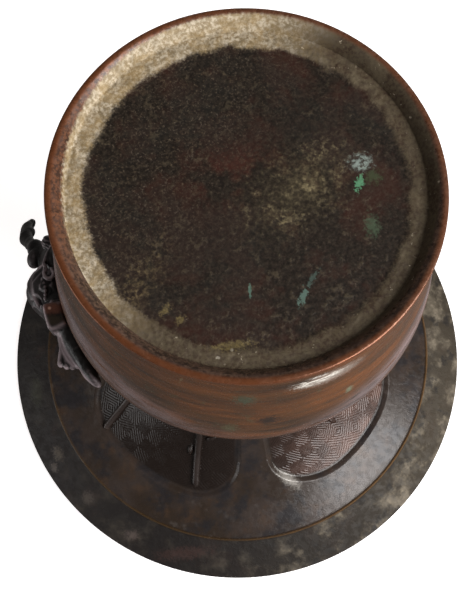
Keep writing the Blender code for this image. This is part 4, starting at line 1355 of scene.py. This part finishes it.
def add_camera():
    """The photograph's camera, from below the floor."""
    data = bpy.data.cameras.new("camera")
    camera = bpy.data.objects.new("camera", data)
    bpy.context.scene.collection.objects.link(camera)
    back = CAMERA_BACK.normalized()
    right = CAMERA_UP.cross(back).normalized()
    up = back.cross(right)
    turn = Matrix((right, up, back)).transposed().to_4x4()
    camera.matrix_world = Matrix.Translation(CAMERA_PLACE) @ turn
    data.sensor_width = SENSOR_WIDTH
    data.lens = FOCAL_PIXELS / max(IMAGE_SIZE) * SENSOR_WIDTH
    data.shift_x = -CENTRE_PIXELS[0] / max(IMAGE_SIZE)
    data.shift_y = CENTRE_PIXELS[1] / max(IMAGE_SIZE)
    data.clip_start = 0.01
    data.clip_end = 20.0
    bpy.context.scene.camera = camera
    bpy.context.scene.view_settings.view_transform = "Standard"


def add_light(name, place, target, size, power, colour=(1.0, 1.0, 1.0)):
    """A soft square light that faces its target."""
    data = bpy.data.lights.new(name, "AREA")
    data.size = size
    data.energy = power
    data.color = colour
    light = bpy.data.objects.new(name, data)
    light.location = place
    light.rotation_mode = "QUATERNION"
    light.rotation_quaternion = (Vector(target) - Vector(place)).to_track_quat("-Z", "Y")
    bpy.context.scene.collection.objects.link(light)
    return light


def add_world():
    """White for the camera; as light, brightest round the upper sides and away from the lion."""
    world = bpy.data.worlds.new("surroundings")
    bpy.context.scene.world = world
    world.use_nodes = True
    tree = world.node_tree
    tree.nodes.clear()
    way = put(tree, "ShaderNodeTexCoord").outputs["Generated"]
    rise = put(tree, "ShaderNodeSeparateXYZ", {0: way}).outputs[2]
    share = level(fade(rise, 0.55, 0.90), fade(rise, 0.0, 0.45, SKY_LOW, SKY_HIGH), SKY_TOP)
    side = on_vectors("DOT_PRODUCT", way, SIDE_WAY, output="Value")
    strength = times(share, worked("MULTIPLY_ADD", side, SIDE_LEAN, 1.0))
    lit = put(tree, "ShaderNodeBackground", {"Color": WARM_WHITE, "Strength": strength})
    seen = put(tree, "ShaderNodeBackground", {"Color": (1, 1, 1, 1), "Strength": 1.0})
    from_camera = put(tree, "ShaderNodeLightPath").outputs["Is Camera Ray"]
    mix = put(tree, "ShaderNodeMixShader", {0: from_camera, 1: lit.outputs[0], 2: seen.outputs[0]})
    put(tree, "ShaderNodeOutputWorld", {"Surface": mix.outputs[0]})


def add_ground(name, height, faces_up):
    """A plain white level that shows only from its own side and only to the camera."""
    reach = 3.0
    corners = [(x * reach, y * reach, height) for x, y in ((-1, -1), (1, -1), (1, 1), (-1, 1))]
    mesh = bpy.data.meshes.new(name)
    mesh.from_pydata(corners if faces_up else corners[::-1], [], [(0, 1, 2, 3)])
    material = bpy.data.materials.new(name)
    material.use_nodes = True
    tree = material.node_tree
    tree.nodes.clear()
    white = put(tree, "ShaderNodeBsdfDiffuse", {"Color": (0.9, 0.88, 0.88, 1)})
    glow = put(tree, "ShaderNodeEmission", {"Color": (1.0, 0.97, 0.96, 1), "Strength": GROUND_GLOW})
    lit = put(tree, "ShaderNodeAddShader", {0: white.outputs[0], 1: glow.outputs[0]})
    clear = put(tree, "ShaderNodeBsdfTransparent")
    front = worked("SUBTRACT", 1.0, put(tree, "ShaderNodeNewGeometry").outputs["Backfacing"])
    shown = times(front, put(tree, "ShaderNodeLightPath").outputs["Is Camera Ray"])
    mix = put(tree, "ShaderNodeMixShader", {0: shown, 1: clear.outputs[0], 2: lit.outputs[0]})
    put(tree, "ShaderNodeOutputMaterial", {"Surface": mix.outputs[0]})
    mesh.materials.append(material)
    ground = bpy.data.objects.new(name, mesh)
    bpy.context.scene.collection.objects.link(ground)


def main():
    """Make every piece, the camera and the light."""
    bronze = vessel_material()
    make_vessel(bronze)
    for number in range(PANELS):
        make_patch(number, bronze)
    make_base_plate(plate_material())
    make_lion(lion_material())
    add_camera()
    add_world()
    add_ground("table_top", -GROUND_GAP, True)
    add_ground("white_sweep", HEIGHT + GROUND_GAP, False)
    add_light("side_light", *SIDE_LIGHT)
    add_light("lion_light", *LION_LIGHT)
    mouth_light = add_light("mouth_light", *MOUTH_LIGHT, LILAC_WHITE)
    mouth_light.visible_glossy = False


main()
